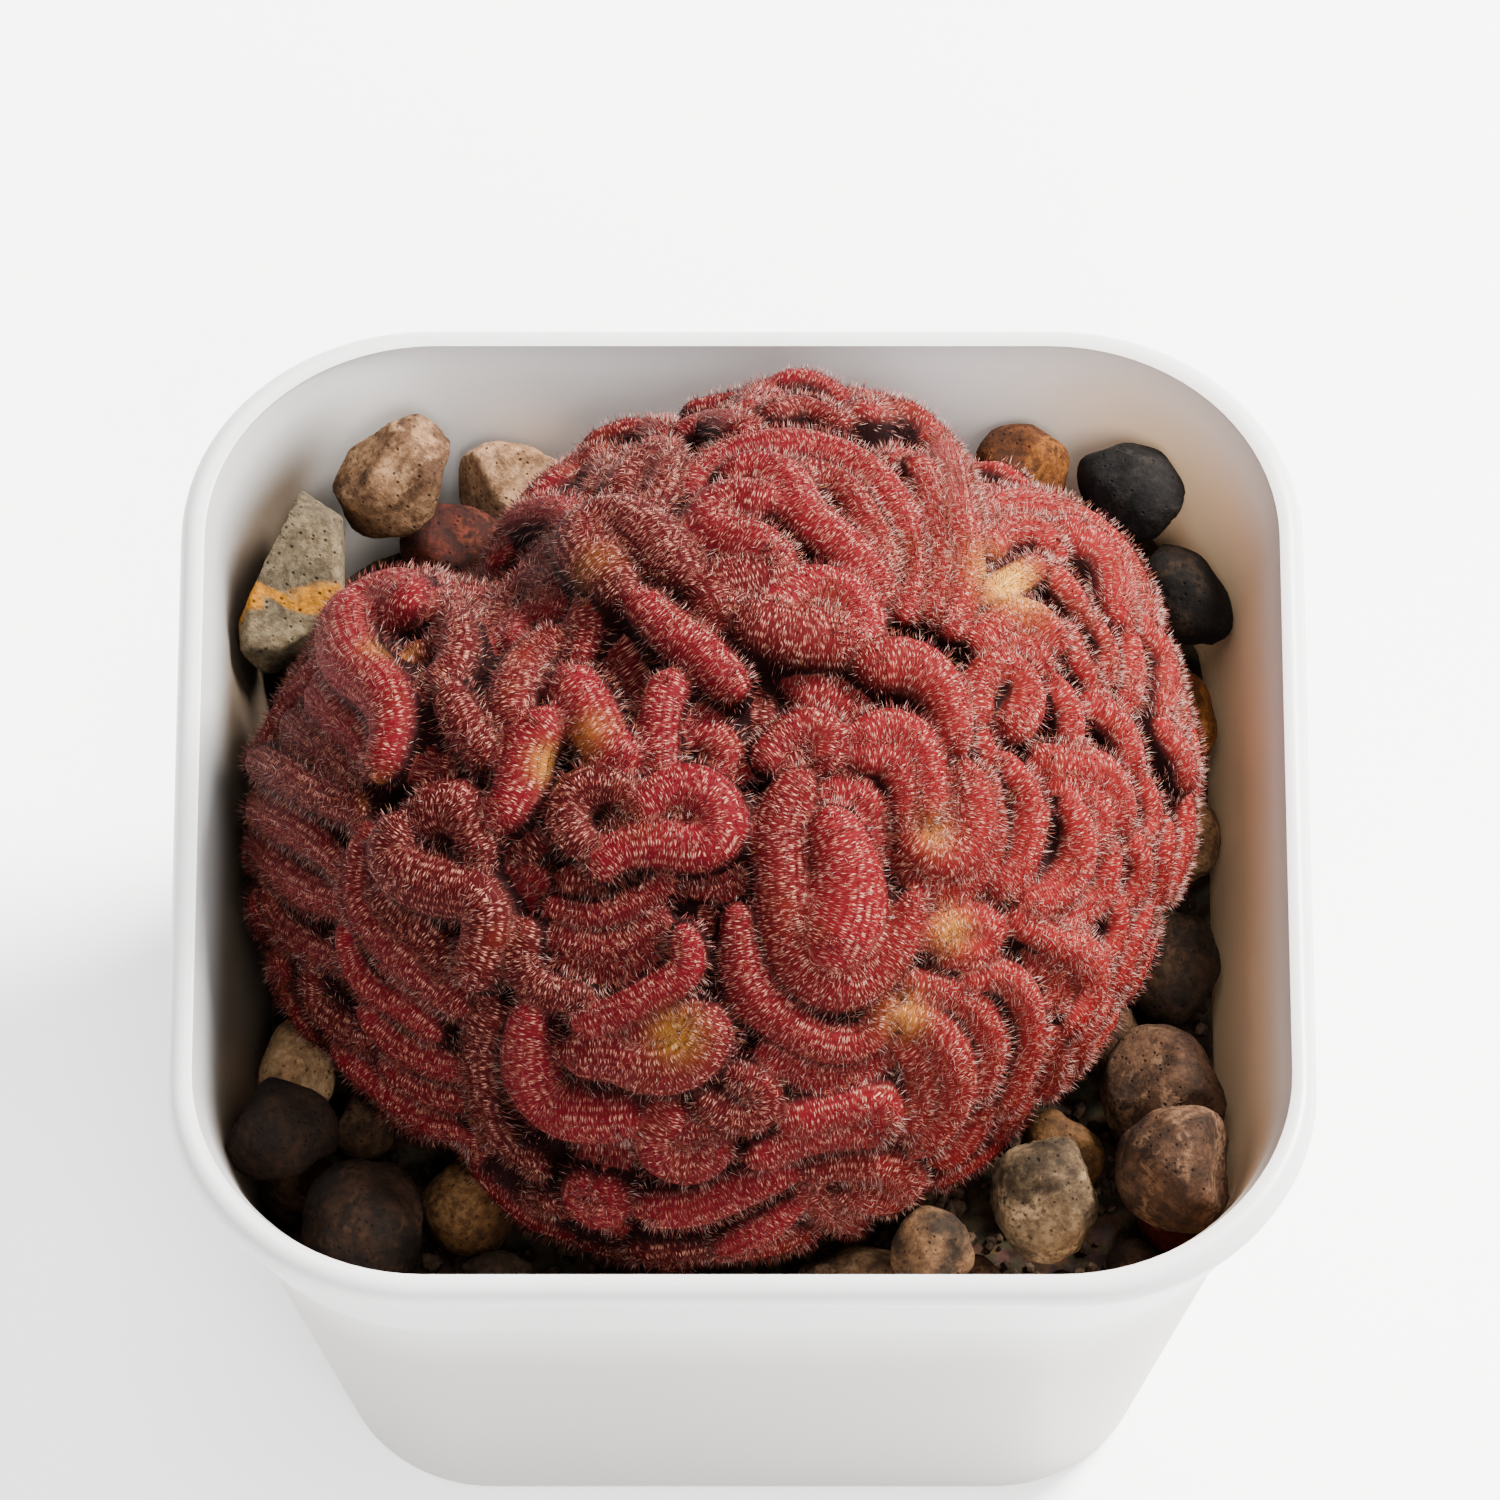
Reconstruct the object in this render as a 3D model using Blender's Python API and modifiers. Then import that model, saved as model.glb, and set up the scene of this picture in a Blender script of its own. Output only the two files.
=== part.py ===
"""Potted crested cactus: a folded, brain-like crest standing in a square nursery pot.

The crest is one grown body. Its folds are read on the view plane of someone who looks at the
pot from the front and steeply from above: s runs to the right and t up that plane, both in
millimetres, and each route is dropped onto the dome of the crest along that line of sight.
Lengths in the tables are millimetres; MM turns them into the metres of the scene.
"""

import math
import random

import bmesh
import bpy
import numpy as np
from mathutils import Matrix, Vector

MM = 0.001
SEAT = 0.3                    # clearance between pieces that touch

# Pot: a square pot with round corners, a rolled lip and a shallow skirt under the lip
RIM_HALF = 45.0
POT_HEIGHT = 54.1
WALL_SLOPE = 0.205            # outward lean of the wall per millimetre of height
SKIRT_DEPTH = 11.5
FLOOR_THICK = 2.2
CORNER_STEPS = 6
DRAIN_RADIUS = 3.0
DRAIN_RING = 15.0

# Filling
SOIL_TOP = 33.0
ROOT_HOLE_RADIUS = 9.0
ROOT_DEPTH = 14.0

# Crest dome: an ellipsoid, swollen and pinched round its edge as LOBES says
DOME_CENTRE = (-1.8, 1.6, 48.0)
DOME_RADII = (38.4, 37.5, 30.0)
DOME_UNDERSIDE = 20.0         # height radius below the widest level, where the crest tucks in
CORE_DEPTH = 3.2              # the core under the folds lies this far below the dome
LIFT_GAIN = 2.1               # how much the folds stand at different heights
FOLD_STEP = 1.6               # spacing of the sections along a fold
# Section of a fold, in half widths: across, and down from its top; its foot is in the core
FOLD_SECTION = [(-1.0, -1.7), (-0.92, -0.78), (-0.72, -0.36), (-0.38, -0.09), (0.0, 0.0),
                (0.38, -0.09), (0.72, -0.36), (0.92, -0.78), (1.0, -1.7)]
FOLD_FOOT = 0.6               # half width of the foot, and its depth in the core
FOLD_SWELL = 1.5              # most that a fold with room round it swells past its own width
FOLD_THINNEST = 0.9
FOLD_CROWDING = 0.92          # share of its room that a fold fills, so that creases stay open
FOLD_LEAN = 1.15              # most half width, per free distance on its tighter side
SPREAD_ROUNDS = 4             # rounds in which the folds share out the room between them
SPREAD_SHARE = 0.5            # share of the difference between its two sides that a fold moves
# Tips, as (distance past the end, scale of the section), in half widths
FOLD_TIPS = [(0.92, 0.30), (0.80, 0.60), (0.45, 0.89)]
CREST_VOXEL = 0.38            # grain of the skin that melts the joined folds together
CREST_TRIANGLES = 11300       # the joined crest is thinned to about this many

# The view plane of the fold routes
VIEW_ELEVATION = math.radians(58.33)
VIEW_AIM = (0.0, 4.59, 54.1)
VIEW_DISTANCE = 1114.0

# Edge of the dome as (angle on the view plane in degrees, factor on the radius)
LOBES = [
    (0, 1.01), (12, 1.03), (30, 1.05), (45, 1.03), (57, 0.96), (65, 0.99), (80, 1.0),
    (98, 0.93), (115, 0.89), (132, 0.79), (139, 0.83), (145, 0.90), (151, 0.95), (180, 1.0),
    (205, 1.01), (228, 0.98), (237, 0.93), (248, 1.01), (262, 1.07), (275, 1.05),
    (290, 0.99), (310, 0.96), (345, 0.97),
]

# Fold routes: (clump, half width, height of the top over the dome, [(s, t), ...]). Folds of one
# clump melt into each other with a shallow groove; two clumps keep a deep crease between them.
FOLDS = [
    # left lobe
    (0, 2.6, 0.5, [(-26.6, 11.6), (-28.8, 12.0), (-31.2, 10.8), (-31.8, 8.6), (-30.8, 6.4),
                   (-28.9, 4.9), (-27.7, 3.2), (-27.6, 0.8), (-28.0, -0.8)]),
    (1, 1.4, -1.0, [(-26.6, 14.8), (-24.0, 15.2), (-21.5, 14.8)]),
    (1, 1.5, -0.6, [(-30.0, 13.4), (-27.0, 14.0), (-24.0, 13.5), (-21.6, 13.2)]),
    (2, 2.1, 0.1, [(-23.6, 11.6), (-22.9, 9.4), (-23.2, 7.2), (-24.0, 6.0)]),
    (3, 2.3, 0.3, [(-23.2, 4.3), (-22.0, 2.3), (-20.6, 0.6)]),
    (4, 1.8, -0.2, [(-34.6, 7.2), (-36.8, 5.0), (-38.2, 2.4), (-39.0, 0.6)]),
    (5, 2.0, -0.2, [(-35.0, 4.9), (-33.4, 2.6), (-31.6, 1.0), (-30.7, -1.4)]),
    (6, 1.5, -0.3, [(-37.2, 2.4), (-35.4, 0.9), (-33.0, -0.8), (-31.4, -2.2)]),
    (7, 2.0, 0.2, [(-38.6, -0.8), (-36.1, -2.0), (-33.5, -3.4), (-30.8, -4.3)]),
    (8, 2.2, 0.0, [(-39.4, -4.6), (-36.6, -6.0), (-34.2, -7.6), (-32.4, -9.4)]),
    (9, 1.8, -0.3, [(-39.8, -8.0), (-38.0, -10.0), (-35.5, -11.4), (-32.6, -12.2)]),
    (10, 2.0, -0.3, [(-38.8, -12.0), (-38.0, -14.3), (-36.0, -16.0), (-33.6, -16.8)]),
    (11, 1.8, -0.7, [(-25.4, -1.2), (-25.9, -3.4)]),
    (11, 2.1, 0.3, [(-24.6, -4.5), (-22.7, -4.2), (-21.3, -5.8), (-20.3, -7.8)]),
    (12, 1.6, -1.3, [(-17.0, -6.4), (-18.6, -8.0)]),
    (13, 1.2, -1.3, [(-19.8, -9.4), (-17.5, -9.9), (-16.8, -11.4)]),
    # between the left lobe and the crown
    (14, 2.1, 0.2, [(-18.6, 3.0), (-18.5, 5.4), (-17.0, 7.6), (-15.0, 8.8)]),
    (15, 1.9, -0.1, [(-12.8, 11.4), (-12.9, 10.0), (-13.6, 8.2)]),
    (16, 1.6, -0.2, [(-20.8, 10.8), (-19.5, 13.0), (-17.5, 14.5), (-15.6, 14.2)]),
    (16, 1.5, -0.2, [(-18.8, 9.9), (-17.9, 11.6), (-15.8, 12.0)]),
    (17, 1.8, -0.2, [(-20.0, 16.2), (-19.1, 18.6), (-17.2, 20.2), (-15.0, 20.4), (-13.5, 19.2)]),
    (17, 1.5, -0.7, [(-18.0, 16.3), (-16.5, 17.5), (-14.5, 17.3)]),
    (18, 2.6, 0.3, [(-16.6, 1.8), (-17.7, -0.2), (-17.8, -2.6), (-18.6, -4.6)]),
    (19, 2.6, 0.4, [(-13.3, 5.0), (-12.1, 3.0), (-11.0, 0.6), (-9.6, -0.6)]),
    (20, 2.1, 0.3, [(-5.9, 4.7), (-6.5, 2.6), (-6.8, -0.4)]),
    (21, 1.7, -2.0, [(-10.2, 8.4), (-9.0, 5.9)]),
    (22, 2.0, -0.6, [(-3.4, 2.6), (-1.6, 1.2), (-0.6, -0.8)]),
    (23, 2.2, 0.3, [(-7.8, 11.3), (-5.7, 9.5), (-3.4, 7.8), (-1.4, 5.4)]),
    (24, 2.2, 0.5, [(-10.2, 12.4), (-11.6, 14.3), (-12.8, 16.3), (-11.6, 18.1), (-9.0, 18.2),
                    (-6.8, 16.6), (-5.2, 14.6)]),
    # crown and the arcs round it
    (25, 1.8, -0.3, [(-16.8, 21.6), (-14.6, 23.4), (-12.2, 24.6)]),
    (26, 1.7, -0.3, [(-11.8, 26.0), (-9.0, 27.0), (-6.2, 26.6)]),
    (27, 1.9, 0.1, [(-9.8, 21.6), (-8.4, 23.5), (-6.4, 24.0), (-5.5, 22.4), (-6.5, 20.2)]),
    (25, 1.4, -0.3, [(-12.2, 21.4), (-11.0, 23.4)]),
    (28, 1.8, -0.2, [(-4.5, 26.8), (-2.0, 27.6), (0.3, 26.9)]),
    (29, 1.3, -0.5, [(-3.6, 28.9), (-1.2, 29.4)]),
    (30, 1.9, 0.4, [(0.6, 19.9), (-1.5, 19.6), (-2.8, 18.0), (-1.2, 16.8), (1.0, 16.3), (2.2, 15.4)]),
    (30, 2.0, 0.3, [(2.0, 13.8), (0.0, 13.5), (-2.2, 12.9), (-1.8, 11.3)]),
    (31, 1.9, 0.0, [(-4.2, 21.6), (-2.8, 23.4), (-0.4, 24.6), (2.4, 25.2), (5.2, 25.2), (8.0, 24.4),
                    (10.8, 22.6), (12.8, 20.0), (14.0, 17.0), (14.4, 14.0), (13.6, 11.2)]),
    (32, 1.9, 0.2, [(-0.4, 22.6), (1.8, 22.9), (3.7, 21.5), (4.9, 19.2), (7.6, 17.0), (9.8, 14.6),
                    (10.8, 13.0)]),
    (32, 1.5, 0.0, [(5.3, 23.0), (7.8, 22.2), (9.6, 20.0), (11.2, 17.4), (12.0, 15.0)]),
    (33, 1.8, 0.2, [(9.9, 27.0), (12.5, 27.2), (15.1, 25.6), (16.8, 22.8), (17.8, 19.6), (18.2, 16.0),
                    (17.9, 12.7), (16.9, 9.9)]),
    (33, 1.4, 0.1, [(14.4, 22.9), (15.4, 20.4), (15.8, 17.4), (15.8, 14.2), (15.2, 11.0)]),
    (34, 1.9, 0.0, [(0.4, 28.0), (2.0, 29.6), (4.6, 30.4), (7.3, 29.4), (9.2, 27.9)]),
    (35, 1.5, 0.0, [(2.6, 27.8), (5.0, 28.2), (7.5, 27.1)]),
    (36, 1.2, -0.4, [(9.9, 29.5), (11.4, 29.0), (12.6, 28.0)]),
    # middle, right of the crown
    (37, 2.4, 0.5, [(1.4, 9.8), (4.2, 8.8), (6.8, 8.4)]),
    (37, 1.7, 0.3, [(2.7, 11.6), (5.4, 13.2), (8.0, 12.8), (9.8, 10.8), (9.3, 8.8)]),
    (38, 2.5, 0.4, [(11.0, 7.0), (13.4, 6.9), (15.6, 5.3), (16.7, 2.8), (17.0, 0.8)]),
    (39, 1.6, -0.6, [(5.3, 5.4), (7.3, 4.9), (9.0, 4.0)]),
    (40, 1.0, -1.4, [(2.0, 4.4), (2.1, 2.4)]),
    (41, 1.7, 0.2, [(1.8, -0.2), (3.4, 1.5), (5.8, 2.3), (7.6, 1.1), (7.2, -0.6)]),
    (41, 1.4, -0.1, [(3.9, -0.9), (5.6, 0.0)]),
    (42, 1.5, 0.3, [(9.6, 1.5), (12.0, 1.9), (14.2, 0.3), (15.2, -2.2), (15.1, -5.0)]),
    (42, 1.5, 0.2, [(9.8, -0.7), (11.8, -0.8), (12.9, -2.8), (12.9, -5.2)]),
    (43, 1.7, -0.2, [(7.5, -2.7), (9.5, -2.9), (11.0, -5.0), (11.5, -7.4)]),
    # right lobe
    (44, 1.5, -0.2, [(18.9, 23.2), (21.0, 23.2), (22.5, 22.2)]),
    (45, 1.7, -0.2, [(19.4, 19.4), (21.0, 20.6), (24.0, 20.7), (27.0, 19.8), (29.5, 18.2),
                     (31.5, 15.9), (32.8, 13.3), (33.4, 11.2)]),
    (45, 1.6, 0.0, [(19.8, 17.0), (21.5, 18.4), (24.0, 18.2), (25.2, 16.8)]),
    (45, 2.0, 0.2, [(27.0, 17.4), (29.0, 16.0), (30.3, 13.6), (30.4, 11.4)]),
    (46, 1.6, 0.1, [(19.9, 12.3), (21.6, 13.6), (23.6, 14.8)]),
    (47, 1.8, 0.0, [(25.0, 14.6), (26.6, 13.0), (27.6, 11.2)]),
    (48, 1.6, 0.2, [(18.9, 8.9), (20.8, 10.7), (23.2, 11.0), (24.9, 9.4)]),
    (48, 1.5, 0.0, [(20.6, 8.0), (22.5, 8.6), (24.2, 7.2)]),
    (49, 1.6, -0.1, [(26.3, 9.6), (27.2, 7.8), (28.4, 6.2)]),
    (50, 1.5, 0.0, [(28.7, 10.0), (29.7, 8.2), (29.6, 6.4)]),
    (51, 1.5, -0.1, [(31.6, 9.0), (31.9, 6.8), (31.4, 4.8)]),
    (52, 1.8, 0.0, [(33.0, 10.0), (34.3, 8.0), (34.8, 5.4), (34.2, 3.0)]),
    (53, 1.5, 0.2, [(18.6, 3.0), (18.8, 5.6), (20.4, 7.0), (22.3, 6.3), (23.0, 4.1), (22.0, 2.2)]),
    (54, 1.4, 0.0, [(19.0, 1.6), (20.0, -0.4)]),
    (55, 1.9, 0.0, [(25.6, 5.2), (26.8, 3.2), (26.8, 1.0)]),
    (56, 1.9, 0.0, [(29.0, 4.0), (31.0, 2.0), (31.7, -0.6)]),
    (57, 1.7, 0.1, [(34.0, 1.8), (35.2, 0.2), (35.8, -1.6)]),
    (58, 1.6, 0.1, [(24.6, -0.6), (26.6, -0.7), (28.9, -1.2), (30.4, -2.9), (30.7, -5.0)]),
    (58, 1.7, 0.0, [(25.6, -2.8), (27.6, -3.4), (28.9, -5.2), (28.9, -6.8)]),
    (59, 1.6, -0.1, [(32.8, -2.8), (33.6, -4.8), (33.2, -6.6)]),
    # right flank
    (60, 1.9, 0.1, [(21.2, -1.2), (22.8, -3.2), (23.1, -6.0), (22.3, -9.0), (20.8, -10.8)]),
    (61, 2.2, 0.3, [(26.2, -4.6), (27.0, -6.8), (26.6, -9.5), (25.0, -11.4), (22.9, -12.2)]),
    (62, 1.6, 0.0, [(29.9, -8.4), (29.6, -11.0), (28.0, -12.9), (25.6, -13.9)]),
    (63, 1.7, 0.0, [(32.2, -7.6), (32.6, -9.4), (31.8, -11.8)]),
    (64, 1.4, -0.2, [(34.6, -6.6), (34.5, -9.4), (33.9, -12.0)]),
    (65, 1.5, -0.2, [(32.9, -13.4), (31.8, -16.4), (30.8, -18.8)]),
    (66, 1.5, 0.0, [(30.7, -12.9), (30.6, -14.8), (29.8, -16.4)]),
    (67, 2.0, 0.2, [(22.2, -13.4), (24.6, -14.5), (27.0, -15.5), (28.4, -17.6), (27.9, -20.0),
                    (26.5, -21.8)]),
    (67, 1.5, -0.3, [(24.3, -16.9), (25.7, -18.0), (25.6, -20.0)]),
    (68, 1.7, 0.1, [(15.2, -14.3), (17.2, -13.3), (19.6, -13.6), (20.3, -15.2), (18.6, -16.6),
                    (16.6, -16.3)]),
    # middle, below the crown
    (69, 1.9, 0.4, [(-12.2, -7.6), (-13.8, -5.8), (-13.0, -3.7), (-11.0, -2.9), (-9.2, -3.6)]),
    (70, 1.9, 0.4, [(-8.0, -3.9), (-5.8, -2.9), (-3.4, -3.1), (-1.7, -4.7), (-1.7, -6.9),
                    (-3.6, -8.1), (-6.4, -7.7), (-9.4, -7.8), (-10.9, -9.0)]),
    (70, 1.5, 0.1, [(-9.9, -5.9), (-7.0, -5.3), (-4.4, -5.5)]),
    (71, 1.7, -0.9, [(-4.2, -10.9), (-2.0, -11.1), (0.0, -10.0)]),
    (72, 1.5, 0.0, [(12.7, -7.6), (14.0, -10.2), (16.4, -11.2), (19.0, -9.9), (20.2, -6.6),
                    (19.9, -2.6)]),
    (72, 1.7, 0.3, [(13.5, -7.2), (15.4, -8.5), (17.6, -7.6), (18.4, -5.2), (17.9, -2.8)]),
    (72, 1.4, 0.1, [(15.4, -6.0), (16.3, -4.6), (16.7, -2.6)]),
    (73, 2.0, 0.3, [(4.2, -3.2), (3.0, -5.6), (2.7, -9.0), (2.9, -12.4), (3.9, -15.8), (5.8, -18.1),
                    (8.4, -18.9), (11.0, -17.7), (12.8, -15.2), (13.8, -12.8)]),
    (73, 2.6, 0.6, [(8.0, -6.8), (8.6, -9.2), (8.3, -12.2), (7.4, -14.6)]),
    (74, 2.2, 0.1, [(-0.6, -13.4), (-0.3, -16.0), (1.0, -19.2), (3.4, -22.0), (6.4, -23.8),
                    (9.4, -23.9), (11.2, -22.4), (11.6, -20.6)]),
    (75, 1.4, -0.4, [(2.2, -24.8), (5.4, -26.4), (8.6, -26.4), (11.4, -25.2)]),
    (76, 1.4, -1.6, [(-2.6, -12.6), (-2.7, -14.6)]),
    # lower right
    (77, 1.8, 0.2, [(13.0, -21.0), (14.6, -21.4), (16.4, -23.4), (17.4, -26.0), (17.0, -28.8),
                    (15.2, -31.0)]),
    (77, 1.7, 0.0, [(12.9, -23.9), (14.4, -25.9), (14.4, -28.2), (13.4, -30.2)]),
    (78, 1.6, 0.0, [(13.8, -18.9), (16.8, -19.4), (19.3, -21.2), (20.4, -24.2), (19.6, -27.2)]),
    (79, 1.8, 0.1, [(18.4, -18.2), (20.8, -17.9), (22.8, -19.6), (23.5, -22.4), (22.8, -25.6),
                    (21.4, -28.2)]),
    (80, 1.6, -0.1, [(25.0, -23.4), (25.8, -25.2), (25.0, -27.4)]),
    (81, 1.4, -0.2, [(29.6, -20.8), (28.2, -22.8), (27.6, -25.0)]),
    (82, 1.7, -0.1, [(17.4, -33.0), (18.9, -31.4), (20.0, -29.6)]),
    (83, 1.5, -0.2, [(23.0, -29.0), (21.4, -31.4), (19.4, -33.4), (16.6, -35.0)]),
    (84, 1.7, 0.2, [(4.8, -29.2), (8.0, -28.2), (11.2, -27.6), (11.6, -29.2)]),
    (84, 1.6, 0.1, [(1.9, -32.8), (4.5, -31.7), (7.5, -30.9), (10.6, -30.9)]),
    (85, 1.6, 0.1, [(-2.4, -29.0), (-0.2, -29.8), (1.8, -29.0), (2.0, -27.0), (0.4, -26.0)]),
    (86, 1.7, 0.1, [(6.0, -33.9), (8.6, -33.4), (11.5, -33.6), (13.4, -34.9), (12.0, -36.4),
                    (9.0, -36.2)]),
    (87, 1.7, -0.2, [(5.6, -35.8), (7.0, -37.6), (9.0, -38.8)]),
    (88, 1.8, 0.0, [(3.6, -34.2), (1.4, -35.1), (-1.5, -36.4), (-4.2, -37.4), (-6.6, -37.5)]),
    (89, 1.7, -0.1, [(4.2, -37.2), (2.0, -39.0), (-1.0, -40.4)]),
    # lower left
    (90, 1.7, 0.1, [(-30.3, -7.4), (-31.2, -9.8), (-31.0, -12.4), (-29.6, -14.5), (-27.4, -16.5),
                    (-25.0, -18.7), (-23.3, -20.1)]),
    (90, 1.5, 0.0, [(-29.0, -11.6), (-27.9, -13.5), (-25.8, -15.1), (-24.2, -17.2)]),
    (91, 2.4, 0.5, [(-27.6, -6.8), (-28.2, -8.6), (-26.4, -10.3), (-23.6, -10.9), (-20.8, -10.9),
                    (-19.4, -12.6), (-19.6, -15.0), (-20.6, -17.2)]),
    (92, 1.8, -0.1, [(-32.2, -14.9), (-31.7, -17.3), (-30.0, -19.3), (-27.5, -20.7), (-25.4, -22.4)]),
    (90, 1.5, -0.5, [(-29.3, -16.7), (-27.6, -18.6), (-25.9, -20.0)]),
    (93, 1.7, -0.3, [(-35.4, -17.6), (-35.2, -20.4), (-33.4, -22.6), (-31.4, -23.6)]),
    (94, 1.8, -0.1, [(-30.2, -21.6), (-28.4, -23.6), (-25.5, -25.0), (-22.8, -25.8)]),
    (95, 2.1, -0.2, [(-32.4, -25.0), (-30.6, -26.8), (-28.4, -28.6), (-26.0, -30.2), (-23.8, -31.0)]),
    (94, 1.5, -0.1, [(-28.4, -26.2), (-25.8, -27.8), (-23.2, -28.4)]),
    (96, 1.5, 0.0, [(-20.6, -21.2), (-21.5, -24.0), (-21.4, -27.0), (-20.8, -29.8), (-19.2, -32.0),
                    (-17.2, -33.4)]),
    (97, 1.8, -0.2, [(-22.4, -31.6), (-21.4, -34.2), (-19.5, -36.5), (-17.0, -38.4), (-14.2, -39.4)]),
    (98, 1.4, -0.1, [(-19.3, -34.0), (-17.6, -35.8), (-15.6, -37.0)]),
    (99, 2.6, 0.4, [(-17.0, -21.4), (-17.2, -24.2), (-16.4, -27.0), (-14.4, -28.9), (-12.0, -29.5),
                    (-9.8, -29.4)]),
    (100, 2.2, 0.3, [(-12.4, -34.9), (-12.4, -36.4), (-11.2, -36.7), (-10.8, -35.4)]),
    (101, 1.3, -0.8, [(-12.6, -32.7), (-9.8, -33.2)]),
    (102, 2.0, 0.3, [(-17.3, -14.8), (-17.5, -17.0), (-15.6, -18.9), (-12.8, -19.4)]),
    (103, 2.2, 0.4, [(-12.2, -21.3), (-9.6, -20.6), (-6.8, -19.0), (-4.4, -17.2), (-4.5, -15.0)]),
    (104, 1.5, -0.3, [(-13.8, -17.2), (-11.0, -17.6), (-8.4, -16.9), (-6.8, -15.4)]),
    (105, 1.8, 0.0, [(-15.2, -12.2), (-12.6, -13.1), (-9.6, -12.8), (-7.2, -11.6), (-5.9, -10.8)]),
    (106, 1.3, -0.6, [(-14.4, -10.3), (-11.6, -10.6)]),
    (104, 1.4, 0.0, [(-14.2, -14.9), (-11.6, -15.6), (-8.8, -14.9), (-6.9, -13.4)]),
    (107, 2.6, 0.4, [(-12.6, -23.6), (-10.0, -24.0), (-7.0, -25.2), (-4.2, -24.6), (-3.0, -22.8)]),
    (107, 1.4, 0.2, [(-8.6, -22.4), (-6.4, -21.8), (-4.2, -21.2)]),
    (108, 1.8, 0.1, [(-6.4, -29.7), (-7.2, -31.6), (-6.1, -33.2), (-3.8, -33.5), (-2.3, -32.4)]),
    (108, 1.3, -0.2, [(-4.8, -30.9), (-3.2, -30.8)]),
    (109, 1.5, -0.3, [(-12.6, -40.4), (-9.6, -41.2), (-6.4, -41.2), (-3.4, -40.9)]),
]

# Bare ground between the traced folds, and the whole far side, grows folds by rule
FILL_SEED = 11
FILL_STARTS = 1400
FILL_STEP = 1.9
FILL_STEPS = 6
FILL_BEND = 0.42              # most a filling fold turns at each step, in radians
FILL_HALF_WIDTH = (1.1, 2.3)
FILL_SWELL = 1.2
FILL_LIFT = (-1.6, -0.2)      # of the shortest and of the longest
FILL_OVERLAP = 0.15           # share of its half width by which it may lean on a neighbour

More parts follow.
